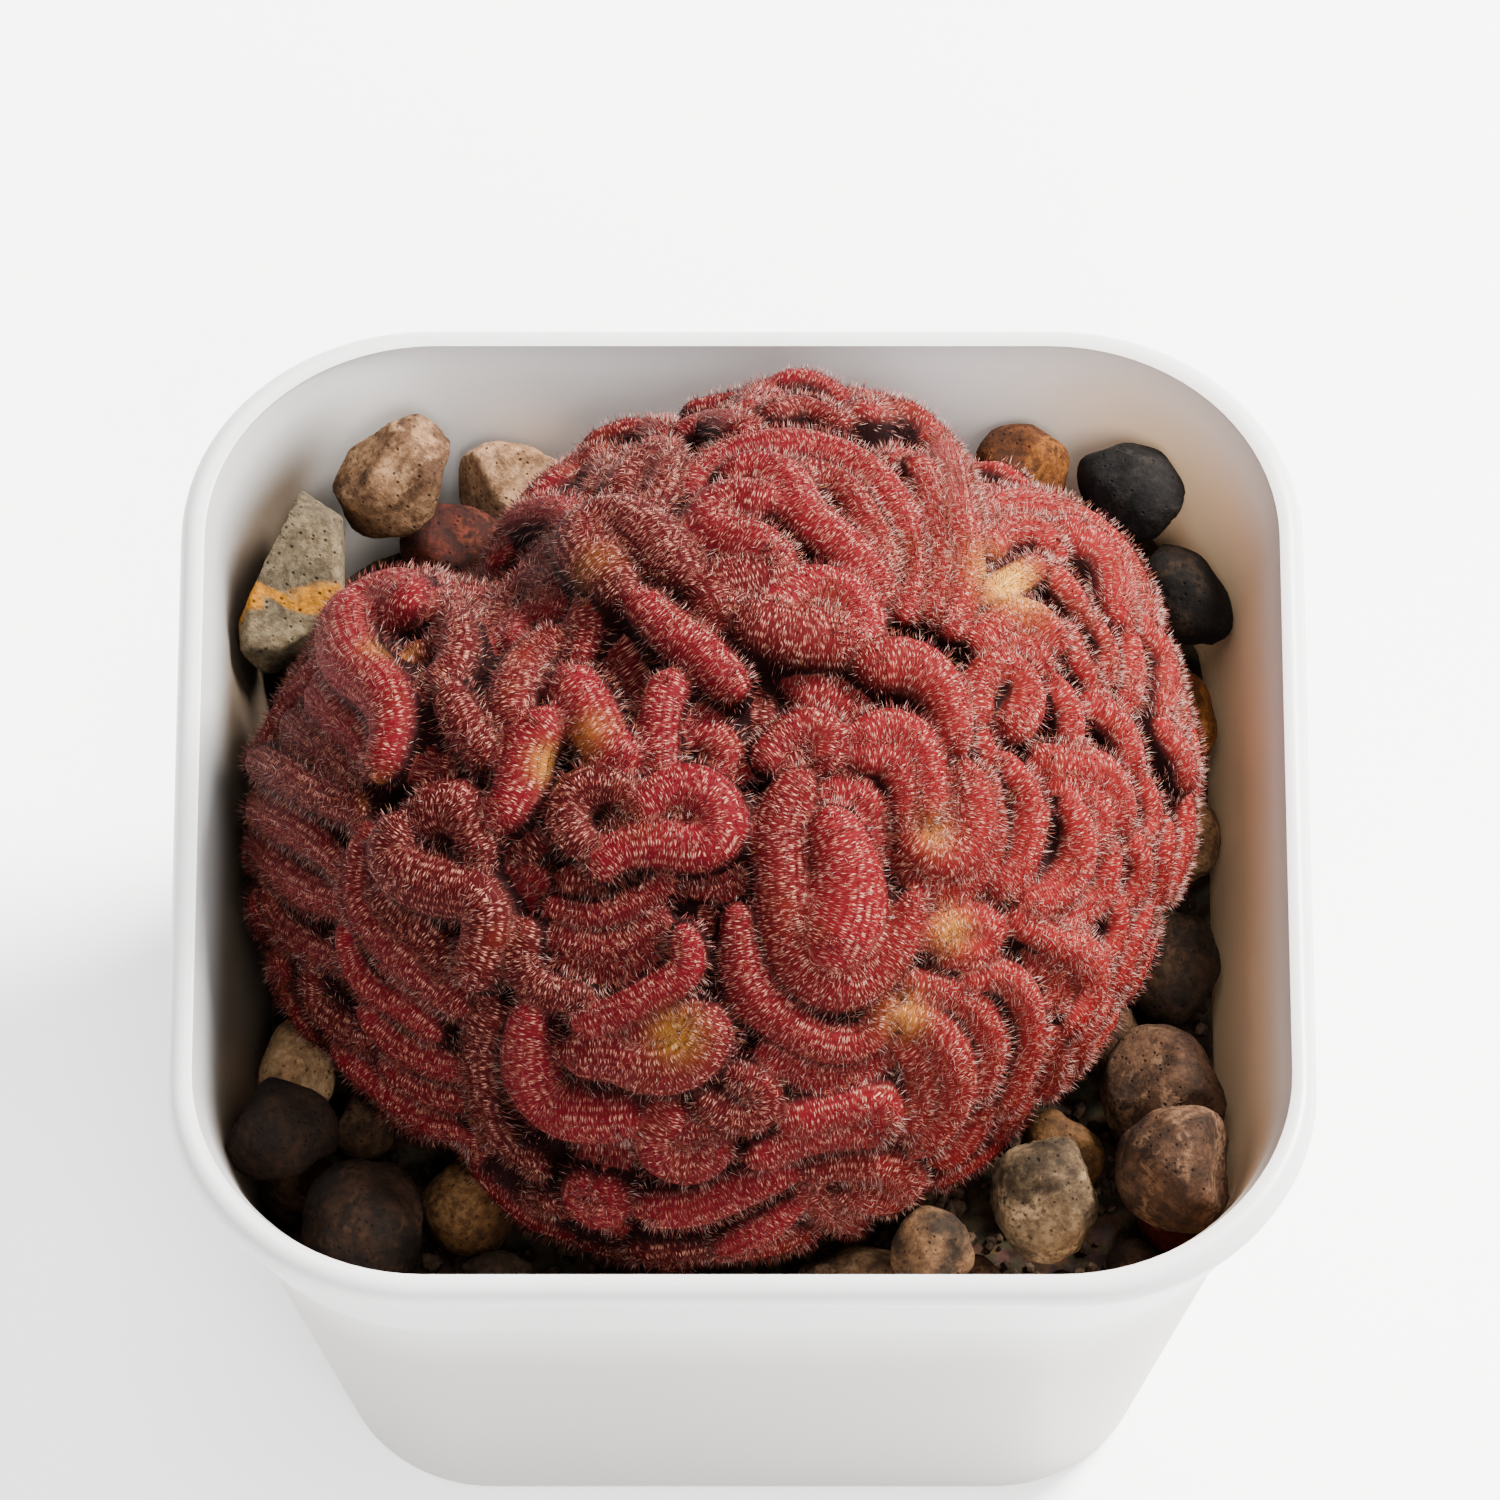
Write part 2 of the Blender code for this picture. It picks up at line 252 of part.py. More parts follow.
# Stones: name, (x, y, z), (half length, half depth, half height), turn, hull points, seed
STONES = [
    ("stone_tall", (-35.6, 27.0, 42.4), (4.8, 8.6, 6.8), -16, 13, 1),
    ("stone_tan", (-27.6, 33.6, 45.0), (6.0, 5.2, 5.5), 20, 16, 2),
    ("stone_pale_back", (-18.2, 36.0, 45.5), (5.3, 4.5, 5.1), 0, 22, 3),
    ("stone_red_back", (-22.6, 30.6, 40.0), (4.4, 4.2, 4.4), 40, 36, 4),
    ("stone_orange_back", (24.0, 34.8, 44.6), (4.5, 4.1, 4.2), 10, 22, 5),
    ("stone_navy", (30.2, 32.4, 45.0), (4.8, 4.2, 4.1), -30, 26, 6),
    ("stone_black_right", (35.6, 25.6, 42.0), (3.8, 5.3, 4.5), 15, 22, 7),
    ("stone_ochre_right", (36.4, 16.2, 40.0), (3.5, 5.5, 4.2), -5, 24, 8),
    ("stone_grey_right", (36.6, 4.4, 40.0), (3.6, 5.6, 4.5), 8, 24, 9),
    ("stone_dark_right", (36.0, -6.6, 39.4), (3.9, 5.5, 4.2), -12, 22, 10),
    ("stone_large_right", (33.4, -17.2, 39.6), (5.6, 6.0, 5.7), 25, 26, 11),
    ("stone_red_right", (35.2, -25.6, 37.6), (3.3, 3.4, 3.5), 0, 24, 12),
    ("stone_pink_corner", (30.6, -30.6, 39.6), (5.3, 5.4, 6.0), 50, 20, 13),
    ("stone_speckled", (23.6, -30.2, 39.6), (4.9, 5.3, 5.8), -20, 24, 14),
    ("stone_ochre_front", (27.2, -22.6, 38.0), (3.6, 3.9, 4.2), 30, 20, 15),
    ("stone_round_front", (16.4, -33.2, 38.4), (3.5, 3.5, 3.6), 0, 30, 16),
    ("stone_wide_front", (9.0, -35.4, 37.4), (5.6, 3.5, 4.1), 6, 22, 17),
    ("stone_pink_front", (21.6, -36.4, 37.2), (3.8, 3.2, 3.7), -15, 20, 18),
    ("stone_beige_left", (-37.2, -12.6, 39.6), (3.3, 4.7, 4.7), 0, 28, 19),
    ("stone_dark_left", (-34.8, -21.6, 38.4), (4.6, 4.2, 4.2), 20, 24, 20),
    ("stone_brown_corner", (-30.6, -30.2, 39.6), (5.5, 5.4, 5.4), 45, 26, 21),
    ("stone_ochre_left", (-22.6, -33.2, 38.4), (4.1, 3.9, 4.2), 0, 24, 22),
    ("stone_grey_front", (-15.0, -35.4, 37.6), (4.7, 3.4, 4.1), -8, 22, 23),
    ("stone_mid_front", (-6.0, -35.8, 37.2), (4.8, 2.8, 3.5), 4, 22, 24),
    ("stone_mid_front_2", (1.6, -35.9, 37.2), (3.7, 2.8, 3.4), 12, 20, 25),
    ("stone_left_low", (-37.6, -4.0, 38.0), (3.1, 4.7, 3.8), 4, 22, 26),
    ("stone_left_mid", (-37.6, 4.6, 38.0), (3.1, 4.8, 3.9), -4, 22, 27),
    ("stone_left_high", (-37.2, 13.6, 38.2), (3.3, 4.9, 4.1), 6, 20, 28),
    ("stone_left_back", (-35.0, 21.4, 38.0), (4.2, 4.2, 4.1), 25, 22, 29),
    ("stone_under_tan", (-27.6, 31.4, 37.2), (4.9, 4.7, 4.2), -35, 20, 30),
    ("stone_under_pale", (-18.0, 34.6, 37.6), (5.1, 4.2, 4.3), 8, 20, 31),
    ("stone_back_left", (-8.6, 36.2, 37.4), (4.8, 2.9, 3.8), -5, 20, 32),
    ("stone_back_mid", (0.4, 36.6, 37.4), (4.7, 2.7, 3.6), 7, 20, 33),
    ("stone_back_right", (9.4, 36.4, 37.4), (4.8, 2.9, 3.8), -6, 20, 34),
    ("stone_under_orange", (19.4, 34.6, 37.6), (5.1, 4.2, 4.5), -12, 20, 35),
    ("stone_under_navy", (28.4, 30.8, 37.8), (5.0, 4.7, 4.6), 35, 22, 36),
    ("stone_corner_left", (-35.4, -28.6, 37.0), (3.1, 3.1, 3.3), 10, 18, 37),
    ("stone_front_low_left", (-26.4, -27.0, 36.4), (3.1, 3.1, 3.3), 25, 18, 38),
    ("stone_corner_front", (-25.6, -37.2, 36.6), (3.4, 2.7, 3.3), -10, 18, 39),
    ("stone_corner_right", (27.4, -36.8, 36.8), (3.3, 2.8, 3.4), 15, 18, 40),
    ("stone_low_right", (29.0, -14.2, 36.0), (2.8, 3.3, 3.0), 0, 18, 41),
    ("stone_low_left", (-30.0, -18.6, 36.2), (3.1, 3.3, 3.2), 30, 18, 42),
    ("stone_low_corner", (36.4, -31.2, 36.6), (2.7, 2.7, 3.1), 0, 18, 43),
    ("stone_right_back", (31.4, 22.6, 36.6), (3.5, 3.9, 3.5), 20, 18, 44),
]
SINK_ROUNDS = 220
SETTLE_DROP = 0.02
CLEAR_ROUNDS = 60
STONE_GAP = 0.15              # between two stones
CREST_GAP = 0.35              # between a stone and a fold
STONE_REACH = 18.0            # further off than this nothing touches a stone
SQUEEZE = 0.06                # a stone squeezed by more than this gets smaller
SQUEEZE_SHRINK = 0.985

COLOURS = {
    "pot": ((0.80, 0.80, 0.79), 0.42),
    "soil": ((0.055, 0.040, 0.030), 0.95),
    "crest": ((0.30, 0.045, 0.050), 0.85),
    "stone": ((0.24, 0.19, 0.15), 0.80),
}


def view_axes():
    """Unit vectors of the view plane: right, up, and out towards the eye."""
    sin_e = math.sin(VIEW_ELEVATION)
    cos_e = math.cos(VIEW_ELEVATION)
    return Vector((1, 0, 0)), Vector((0, sin_e, cos_e)), Vector((0, -cos_e, sin_e))


def dome_in_view():
    """Centre of the dome as (s, t, depth) on the view axes."""
    offset = Vector(DOME_CENTRE) - Vector(VIEW_AIM)
    return [offset.dot(axis) for axis in view_axes()]


def lobe_factor(angle):
    """Factor on the dome's radius at an angle round its edge, eased between the LOBES."""
    angle = angle % 360
    for (a0, f0), (a1, f1) in zip(LOBES, LOBES[1:] + [(360, LOBES[0][1])]):
        if a0 <= angle <= a1:
            ease = 0.5 - 0.5 * math.cos(math.pi * (angle - a0) / (a1 - a0))
            return f0 + (f1 - f0) * ease
    return 1.0


def depth_on_ellipsoid(s, t, height):
    """Depth where the line of sight at (s, t) meets an ellipsoid of that height."""
    sin_e = math.sin(VIEW_ELEVATION)
    cos_e = math.cos(VIEW_ELEVATION)
    rx, ry = DOME_RADII[:2]
    a = (cos_e / ry) ** 2 + (sin_e / height) ** 2
    b = t * sin_e * cos_e * (1 / height ** 2 - 1 / ry ** 2)
    c = (s / rx) ** 2 + (t * sin_e / ry) ** 2 + (t * cos_e / height) ** 2 - 1
    return (-b + math.sqrt(max(b * b - a * c, 0.0))) / a


def dome_point(s, t):
    """Point of the dome seen at (s, t) of the view plane, and its outward normal, in mm."""
    right, up, out = view_axes()
    s0, t0, d0 = dome_in_view()
    depth = d0 + DOME_RADII[2]
    for _ in range(4):
        near = 1 - depth / VIEW_DISTANCE
        ds = s * near - s0
        dt = t * near - t0
        factor = lobe_factor(math.degrees(math.atan2(dt, ds)))
        local = depth_on_ellipsoid(ds / factor, dt / factor, DOME_RADII[2])
        height = DOME_RADII[2]
        if (up * dt / factor + out * local).z < 0:
            height = DOME_UNDERSIDE
            local = depth_on_ellipsoid(ds / factor, dt / factor, height)
        depth = d0 + local
    point = Vector(VIEW_AIM) + right * (s0 + ds) + up * (t0 + dt) + out * depth
    body = right * ds / factor + up * dt / factor + out * local
    rx, ry = DOME_RADII[:2]
    normal = Vector((body.x / rx ** 2, body.y / ry ** 2, body.z / height ** 2)).normalized()
    return point, normal


def dome_round(direction, inset=0.0):
    """Point of the dome along a unit direction of its ellipsoid, and its outward normal."""
    right, up, out = view_axes()
    rx, ry, rz = DOME_RADII
    height = rz if direction.z > 0 else DOME_UNDERSIDE
    body = Vector((direction.x * (rx - inset), direction.y * (ry - inset),
                   direction.z * (height - inset)))
    ds, dt = body.dot(right), body.dot(up)
    factor = lobe_factor(math.degrees(math.atan2(dt, ds)))
    point = Vector(DOME_CENTRE) + right * ds * factor + up * dt * factor + out * body.dot(out)
    normal = Vector((direction.x / rx, direction.y / ry, direction.z / height)).normalized()
    return point, normal


def smooth_route(route, step):
    """Points at an even step along a smooth curve through the route's own points."""
    points = [Vector(p) for p in route]
    padded = [2 * points[0] - points[1]] + points + [2 * points[-1] - points[-2]]
    dense = []
    for p0, p1, p2, p3 in zip(padded, padded[1:], padded[2:], padded[3:]):
        for i in range(8):
            u = i / 8
            dense.append(0.5 * (2 * p1 + (p2 - p0) * u + (2 * p0 - 5 * p1 + 4 * p2 - p3) * u * u
                                + (3 * p1 - p0 - 3 * p2 + p3) * u ** 3))
    dense.append(points[-1])
    lengths = [0.0]
    for a, b in zip(dense, dense[1:]):
        lengths.append(lengths[-1] + (b - a).length)
    count = max(1, round(lengths[-1] / step))
    out = []
    for k in range(count + 1):
        want = lengths[-1] * k / count
        i = max(j for j in range(len(lengths)) if lengths[j] <= want + 1e-9)
        i = min(i, len(dense) - 2)
        span = max(lengths[i + 1] - lengths[i], 1e-9)
        out.append(dense[i].lerp(dense[i + 1], (want - lengths[i]) / span))
    return out


def material(name, colour, roughness):
    """A plain Principled material."""
    mat = bpy.data.materials.new(name)
    mat.use_nodes = True
    shader = mat.node_tree.nodes["Principled BSDF"]
    shader.inputs["Base Color"].default_value = (*colour, 1)
    shader.inputs["Roughness"].default_value = roughness
    return mat


def mesh_object(name, mesh, collection, origin=(0, 0, 0)):
    """An object whose mesh, given in world millimetres, is stored round its own origin."""
    origin = Vector(origin)
    mesh.transform(Matrix.Scale(MM, 4) @ Matrix.Translation(-origin))
    obj = bpy.data.objects.new(name, mesh)
    obj.location = origin * MM
    collection.objects.link(obj)
    return obj


def mesh_from(bm, name):
    """Turn a bmesh into a mesh with its faces outward."""
    bmesh.ops.recalc_face_normals(bm, faces=bm.faces)
    mesh = bpy.data.meshes.new(name)
    bm.to_mesh(mesh)
    bm.free()
    return mesh


def square_ring(bm, half, radius, z):
    """One ring of a square with round corners."""
    ring = []
    for quarter in range(4):
        for step in range(CORNER_STEPS + 1):
            angle = math.pi / 2 * (quarter + step / CORNER_STEPS)
            cx = math.copysign(half - radius, math.cos(math.pi / 2 * (quarter + 0.5)))
            cy = math.copysign(half - radius, math.sin(math.pi / 2 * (quarter + 0.5)))
            ring.append(bm.verts.new((cx + radius * math.cos(angle),
                                      cy + radius * math.sin(angle), z)))
    return ring


def loft(bm, levels):
    """Skin rings of (half width, corner radius, z), closed at the first and the last."""
    rings = [square_ring(bm, *level) for level in levels]
    for low, high in zip(rings, rings[1:]):
        for i in range(len(low)):
            j = (i + 1) % len(low)
            bm.faces.new((low[i], low[j], high[j], high[i]))
    bm.faces.new(reversed(rings[0]))
    bm.faces.new(rings[-1])


def cylinder(name, radius, z0, z1, centre, collection, sides=20):
    """A closed cylinder from z0 to z1."""
    bm = bmesh.new()
    bmesh.ops.create_cone(bm, cap_ends=True, segments=sides, radius1=radius, radius2=radius,
                          depth=z1 - z0)
    bmesh.ops.translate(bm, verts=bm.verts, vec=(centre[0], centre[1], (z0 + z1) / 2))
    return mesh_object(name, mesh_from(bm, name), collection)


def as_cutter(obj):
    """Mark a helper as a guide that never renders."""
    obj.hide_render = True
    obj.display_type = "WIRE"
    return obj


def boolean(obj, operation, other, solver="EXACT"):
    """Apply one Boolean with an object, or with all the objects of a collection."""
    modifier = obj.modifiers.new(operation.lower(), "BOOLEAN")
    modifier.operation = operation
    modifier.solver = solver
    if isinstance(other, bpy.types.Collection):
        modifier.operand_type = "COLLECTION"
        modifier.collection = other
    else:
        modifier.object = other
    bpy.context.view_layer.objects.active = obj
    bpy.ops.object.modifier_apply(modifier=modifier.name)


def keep_outer_shell(obj):
    """Fill the pockets that joining has sealed: only the largest shell stays."""
    bm = bmesh.new()
    bm.from_mesh(obj.data)
    left = set(bm.verts)
    shells = []
    while left:
        shell = {left.pop()}
        front = list(shell)
        while front:
            vert = front.pop()
            for edge in vert.link_edges:
                other = edge.other_vert(vert)
                if other in left:
                    left.remove(other)
                    shell.add(other)
                    front.append(other)
        shells.append(shell)
    outer = max(shells, key=len)
    spare = [vert for shell in shells if shell is not outer for vert in shell]
    bmesh.ops.delete(bm, geom=spare, context="VERTS")
    bm.to_mesh(obj.data)
    bm.free()


def melt(obj):
    """Melt the joined folds into one even skin."""
    skin = obj.modifiers.new("skin", "REMESH")
    skin.mode = "VOXEL"
    skin.voxel_size = CREST_VOXEL * MM
    bpy.context.view_layer.objects.active = obj
    bpy.ops.object.modifier_apply(modifier=skin.name)


def thin(obj, triangles):
    """Collapse the shortest edges until about that many triangles are left."""
    now = sum(len(face.vertices) - 2 for face in obj.data.polygons)
    modifier = obj.modifiers.new("thin", "DECIMATE")
    modifier.ratio = min(1.0, triangles / now)
    bpy.context.view_layer.objects.active = obj
    bpy.ops.object.modifier_apply(modifier=modifier.name)


def finish(obj, mat, parent, sharp=35):
    """Material, parent and smooth shading of a finished piece."""
    obj.data.materials.clear()
    obj.data.materials.append(mat)
    obj.parent = parent
    obj.data.shade_smooth()
    obj.data.set_sharp_from_angle(angle=math.radians(sharp))


def inner_half(z):
    """Half width of the pot's inside at a height."""
    skirt_foot = POT_HEIGHT - SKIRT_DEPTH
    low = RIM_HALF - 5.05 - WALL_SLOPE * (skirt_foot - z)
    if z <= skirt_foot:
        return low
    return low + (2.5 - WALL_SLOPE * 10.0) * (z - skirt_foot) / 10.0


def pot_levels():
    """Rings of the pot, up the outside, over the lip and down the inside to the floor."""
    top = POT_HEIGHT
    foot = top - SKIRT_DEPTH
    wall = RIM_HALF - 3.8
    base = wall - WALL_SLOPE * (foot - 0.7)
    levels = [(base - 0.75, 11.7, 0.0), (base, 12.4, 0.7), (wall, 17.5, foot - 0.1)]
    levels += [(wall + 0.8, 18.2, foot), (RIM_HALF - 1.0, 19.0, top - 3.3)]
    levels += [(RIM_HALF - 0.1, 19.5, top - 2.6), (RIM_HALF, 19.5, top - 1.6)]
    levels += [(RIM_HALF - 0.35, 19.3, top - 0.5), (RIM_HALF - 1.1, 18.8, top)]
    levels += [(RIM_HALF - 1.8, 18.3, top - 0.15), (inner_half(top) + 0.1, 18.0, top - 0.8)]
    levels += [(inner_half(foot), 16.4, foot), (inner_half(FLOOR_THICK + 1.2), 11.0,
                                                FLOOR_THICK + 1.2)]
    levels += [(inner_half(FLOOR_THICK) - 1.0, 10.4, FLOOR_THICK)]
    return levels


def make_pot(parts, cutters):
    """Thin-walled square pot, with drain holes through its floor."""
    bm = bmesh.new()
    loft(bm, pot_levels())
    pot = mesh_object("pot", mesh_from(bm, "pot"), parts)
    spots = [(0, 0)]
    for quarter in range(4):
        angle = math.pi / 2 * (quarter + 0.5)
        spots.append((DRAIN_RING * math.cos(angle), DRAIN_RING * math.sin(angle)))
    for i, spot in enumerate(spots):
        drill = cylinder(f"drain_{i}", DRAIN_RADIUS, -2.0, FLOOR_THICK + 2.0, spot, cutters)
        boolean(pot, "DIFFERENCE", as_cutter(drill))
    return pot


def make_soil(parts, cutters):
    """Block of gritty mix that fills the pot, with a plain hole for the root."""
    low = FLOOR_THICK + SEAT
    bm = bmesh.new()
    loft(bm, [(inner_half(low) - 1.0 - SEAT, 10.2, low),
              (inner_half(low + 1.2) - SEAT, 10.8, low + 1.2),
              (inner_half(SOIL_TOP) - SEAT, 15.0, SOIL_TOP)])
    soil = mesh_object("soil", mesh_from(bm, "soil"), parts, (0, 0, low))
    hole = cylinder("root_hole", ROOT_HOLE_RADIUS, SOIL_TOP - ROOT_DEPTH, SOIL_TOP + 5,
                    DOME_CENTRE, cutters)
    boolean(soil, "DIFFERENCE", as_cutter(hole))
    return soil


def make_core(collection):
    """Core of the crest: the dome, shrunk so that the folds stand out of it."""
    bm = bmesh.new()
    bmesh.ops.create_icosphere(bm, subdivisions=4, radius=1.0)
    for vert in bm.verts:
        vert.co = dome_round(vert.co.normalized(), CORE_DEPTH)[0]
    return mesh_object("crest", mesh_from(bm, "crest"), collection,
                       (DOME_CENTRE[0], DOME_CENTRE[1], SOIL_TOP))


def traced_folds():
    """The folds of FOLDS as (clump, most half width, lift, [(point, normal), ...])."""
    folds = []
    for clump, half_width, lift, route in FOLDS:
        spots = smooth_route([(s, t, 0) for s, t in route], FOLD_STEP)
        folds.append((clump, half_width * FOLD_SWELL, lift * LIFT_GAIN,
                      [dome_point(spot.x, spot.y) for spot in spots]))
    return folds


def smoothed(values):
    """A row of numbers, each drawn twice towards its neighbours."""
    for _ in range(2):
        padded = np.pad(values, 1, mode="edge")
        values = 0.25 * padded[:-2] + 0.5 * padded[1:-1] + 0.25 * padded[2:]
    return values


def free_reach(away, direction):
    """How far each point can grow that way until it is as close to one of the others."""
    towards = np.einsum("ijk,ik->ij", away, direction)
    return (np.square(away).sum(axis=2) / np.maximum(2 * towards, 0.01)).min(axis=1)


def fold_room(folds):
    """Per fold: sideways directions, and the room on both sides up to the next clump."""
    spots = np.array([point for *_, line in folds for point, _ in line])
    clumps = np.array([clump for clump, _, _, line in folds for _ in line])
    rooms = []
    for clump, most, _, line in folds:
        own = np.array([point for point, _ in line])
        ahead = np.gradient(own, axis=0)
        ahead /= np.linalg.norm(ahead, axis=1)[:, None]
        side = np.cross(ahead, [normal for _, normal in line])
        away = spots[None, clumps != clump] - own[:, None]
        left = np.minimum(free_reach(away, side), most)
        right = np.minimum(free_reach(away, -side), most)
        tips = (free_reach(away[:1], -ahead[:1])[0], free_reach(away[-1:], ahead[-1:])[0])
        rooms.append((side, left, right, tips))
    return rooms


def spread_folds(folds):
    """Slide the folds sideways until each has about as much room on both sides."""
    for _ in range(SPREAD_ROUNDS):
        rooms = fold_room(folds)
        folds = [(clump, most, lift,
                  [(point + Vector(away * slide), normal) for (point, normal), away, slide in
                   zip(line, side, smoothed((left - right) * 0.5 * SPREAD_SHARE))])
                 for (clump, most, lift, line), (side, left, right, _) in zip(folds, rooms)]
    return folds


def fitted_widths(folds):
    """Half widths along every fold, as far as its neighbours leave room."""
    widths = []
    for (_, most, _, _), (_, left, right, tips) in zip(folds, fold_room(folds)):
        fit = np.minimum((left + right) * 0.5, np.minimum(left, right) * FOLD_LEAN)
        fit[0] = min(fit[0], tips[0])
        fit[-1] = min(fit[-1], tips[1])
        widths.append(smoothed(np.clip(fit * FOLD_CROWDING, FOLD_THINNEST, most)))
    return widths


def clear_of(point, taken, reach, half_width):
    """Whether a fold of that half width fits at a point beside its neighbours."""
    gaps = np.linalg.norm(taken - point, axis=1) - reach
    return point.z > SOIL_TOP + 1.5 and np.min(gaps) > half_width * (1 - FILL_OVERLAP)


def grow(start, heading, bend, half_width, taken, reach):
    """Directions of a curved fold that stops before it meets a neighbour."""
    path = [start]
    side = start.cross(heading).normalized()
    for _ in range(FILL_STEPS):
        side = (Matrix.Rotation(bend, 3, path[-1]) @ side).normalized()
        trial = (Matrix.Rotation(FILL_STEP / DOME_RADII[0], 3, side) @ path[-1]).normalized()
        if not clear_of(dome_round(trial)[0], taken, reach, half_width):
            break
        path.append(trial)
    return path


def filling_folds(folds):
    """Folds by rule, wherever the dome is still bare: wide ones first, then narrower ones."""
    draw = random.Random(FILL_SEED)
    taken = np.array([point for *_, line in folds for point, _ in line])
    reach = np.concatenate(fitted_widths(folds))
    golden = math.pi * (3 - math.sqrt(5))
    added = []
    for turn, i in enumerate(draw.sample(range(FILL_STARTS), FILL_STARTS)):
        z = 1 - 1.7 * (i + 0.5) / FILL_STARTS
        flat = math.sqrt(1 - z * z)
        start = Vector((flat * math.cos(golden * i), flat * math.sin(golden * i), z))
        narrow, wide = FILL_HALF_WIDTH
        half_width = wide - (wide - narrow) * turn / FILL_STARTS
        bend = draw.uniform(-FILL_BEND, FILL_BEND)
        heading = start.cross(Vector((draw.gauss(0, 1), draw.gauss(0, 1), draw.gauss(0, 1))))
        if not clear_of(dome_round(start)[0], taken, reach, half_width):
            continue
        tail = grow(start, heading, bend, half_width, taken, reach)
        head = grow(start, -heading, -bend, half_width, taken, reach)
        path = [tuple(unit) for unit in tail[:0:-1] + head]
        if len(path) == 1:
            path.append(tuple(start + heading.normalized() * 0.02))
        length = min(1.0, (len(path) - 1) / FILL_STEPS)
        lift = FILL_LIFT[0] + (FILL_LIFT[1] - FILL_LIFT[0]) * length
        line = [dome_round(unit.normalized()) for unit in
                smooth_route(path, FOLD_STEP / DOME_RADII[0])]
        added.append((-1 - len(added), half_width * FILL_SWELL, lift, line))
        taken = np.vstack([taken, [point for point, _ in line]])
        reach = np.append(reach, [half_width] * len(line))
    return added


def crest_folds():
    """Every fold of the crest as (half widths, lift, line)."""
    folds = spread_folds(traced_folds())
    folds = spread_folds(folds + filling_folds(folds))
    return [(widths, lift, line) for (_, _, lift, line), widths in
            zip(folds, fitted_widths(folds))]


def fold_mesh(name, widths, lift, line, collection):
    """One fold, swept along its line: round on top, its foot sunk in the core."""
    stations = []
    for end, past in ((0, 1), (-1, -2)):
        point, normal = line[end]
        along = (point - line[past][0]).normalized()
        tips = [(point + along * widths[end] * ahead, normal, widths[end], scale)
                for ahead, scale in FOLD_TIPS]
        if end == 0:
            stations = tips + [(*spot, width, 1.0) for spot, width in zip(line, widths)]
        else:
            stations += reversed(tips)
    bm = bmesh.new()
    rings = []
    for i, (point, normal, width, scale) in enumerate(stations):
        ahead = stations[min(i + 1, len(stations) - 1)][0] - stations[max(i - 1, 0)][0]
        side = ahead.cross(normal).normalized()
        top = point + normal * (lift - (1 - scale) * width * 0.7)
        foot = point - normal * (CORE_DEPTH + FOLD_FOOT)
        ring = [top + side * across * width * scale + normal * down * width
                for across, down in FOLD_SECTION]
        ring.append(foot + side * FOLD_FOOT * width * scale)
        ring.append(foot - side * FOLD_FOOT * width * scale)
        rings.append([bm.verts.new(spot) for spot in ring])
    for near, far in zip(rings, rings[1:]):
        for i in range(len(near)):
            j = (i + 1) % len(near)
            bm.faces.new((near[i], near[j], far[j], far[i]))
    bm.faces.new(rings[0])
    bm.faces.new(reversed(rings[-1]))
    return mesh_object(name, mesh_from(bm, name), collection)


def make_crest(folds, parts, cutters):
    """The crest: core, folds and root collar joined into one body, flat on the soil."""
    joined = bpy.data.collections.new("crest folds")
    bpy.context.scene.collection.children.link(joined)
    for i, (widths, lift, line) in enumerate(folds):
        fold_mesh(f"fold_{i}", widths, lift, line, joined)
    crest = make_core(parts)
    boolean(crest, "UNION", joined, "MANIFOLD")
    for obj in list(joined.objects):
        bpy.data.objects.remove(obj)
    bpy.data.collections.remove(joined)
    melt(crest)
    keep_outer_shell(crest)
    thin(crest, CREST_TRIANGLES)
    floor = cylinder("crest_floor", 60, -10, SOIL_TOP + SEAT, (0, 0), cutters, 32)
    boolean(crest, "DIFFERENCE", as_cutter(floor))
    root = cylinder("root", ROOT_HOLE_RADIUS - SEAT, SOIL_TOP - ROOT_DEPTH + SEAT,
                    SOIL_TOP + 8, DOME_CENTRE, cutters)
    boolean(crest, "UNION", as_cutter(root))
    return crest


class Stone:
    """A pebble that settles as an ellipsoid and is built as a faceted hull inside it."""

    def __init__(self, name, centre, radii, turn, hull_points, seed):
        self.name = name
        self.centre = Vector(centre)
        self.radii = Vector(radii)
        self.rotation = Matrix.Rotation(math.radians(turn), 3, "Z")
        self.hull_points = hull_points
        self.seed = seed

    def reach(self, direction):
        """How far the ellipsoid extends along a unit direction."""
        local = self.rotation.transposed() @ direction
        return Vector(a * b for a, b in zip(local, self.radii)).length


def crest_reach(direction, factor):
    """How far the crest extends along a unit direction from the dome's centre."""
    height = DOME_RADII[2] if direction.z > 0 else DOME_UNDERSIDE
    rx, ry = DOME_RADII[:2]
    return Vector((direction.x * rx, direction.y * ry, direction.z * height)).length * factor


def best_split(offset, reach_sum):
    """Direction along which two bodies are furthest apart, and that distance."""
    best = offset.normalized()
    best_gap = offset.dot(best) - reach_sum(best)
    step = 0.5
    for _ in range(14):
        improved = False
        for tweak in (Vector((1, 0, 0)), Vector((0, 1, 0)), Vector((0, 0, 1))):
            for sign in (-step, step):
                trial = (best + tweak * sign).normalized()
                gap = offset.dot(trial) - reach_sum(trial)
                if gap > best_gap:
                    best, best_gap, improved = trial, gap, True
        if not improved:
            step *= 0.5
    return best, best_gap


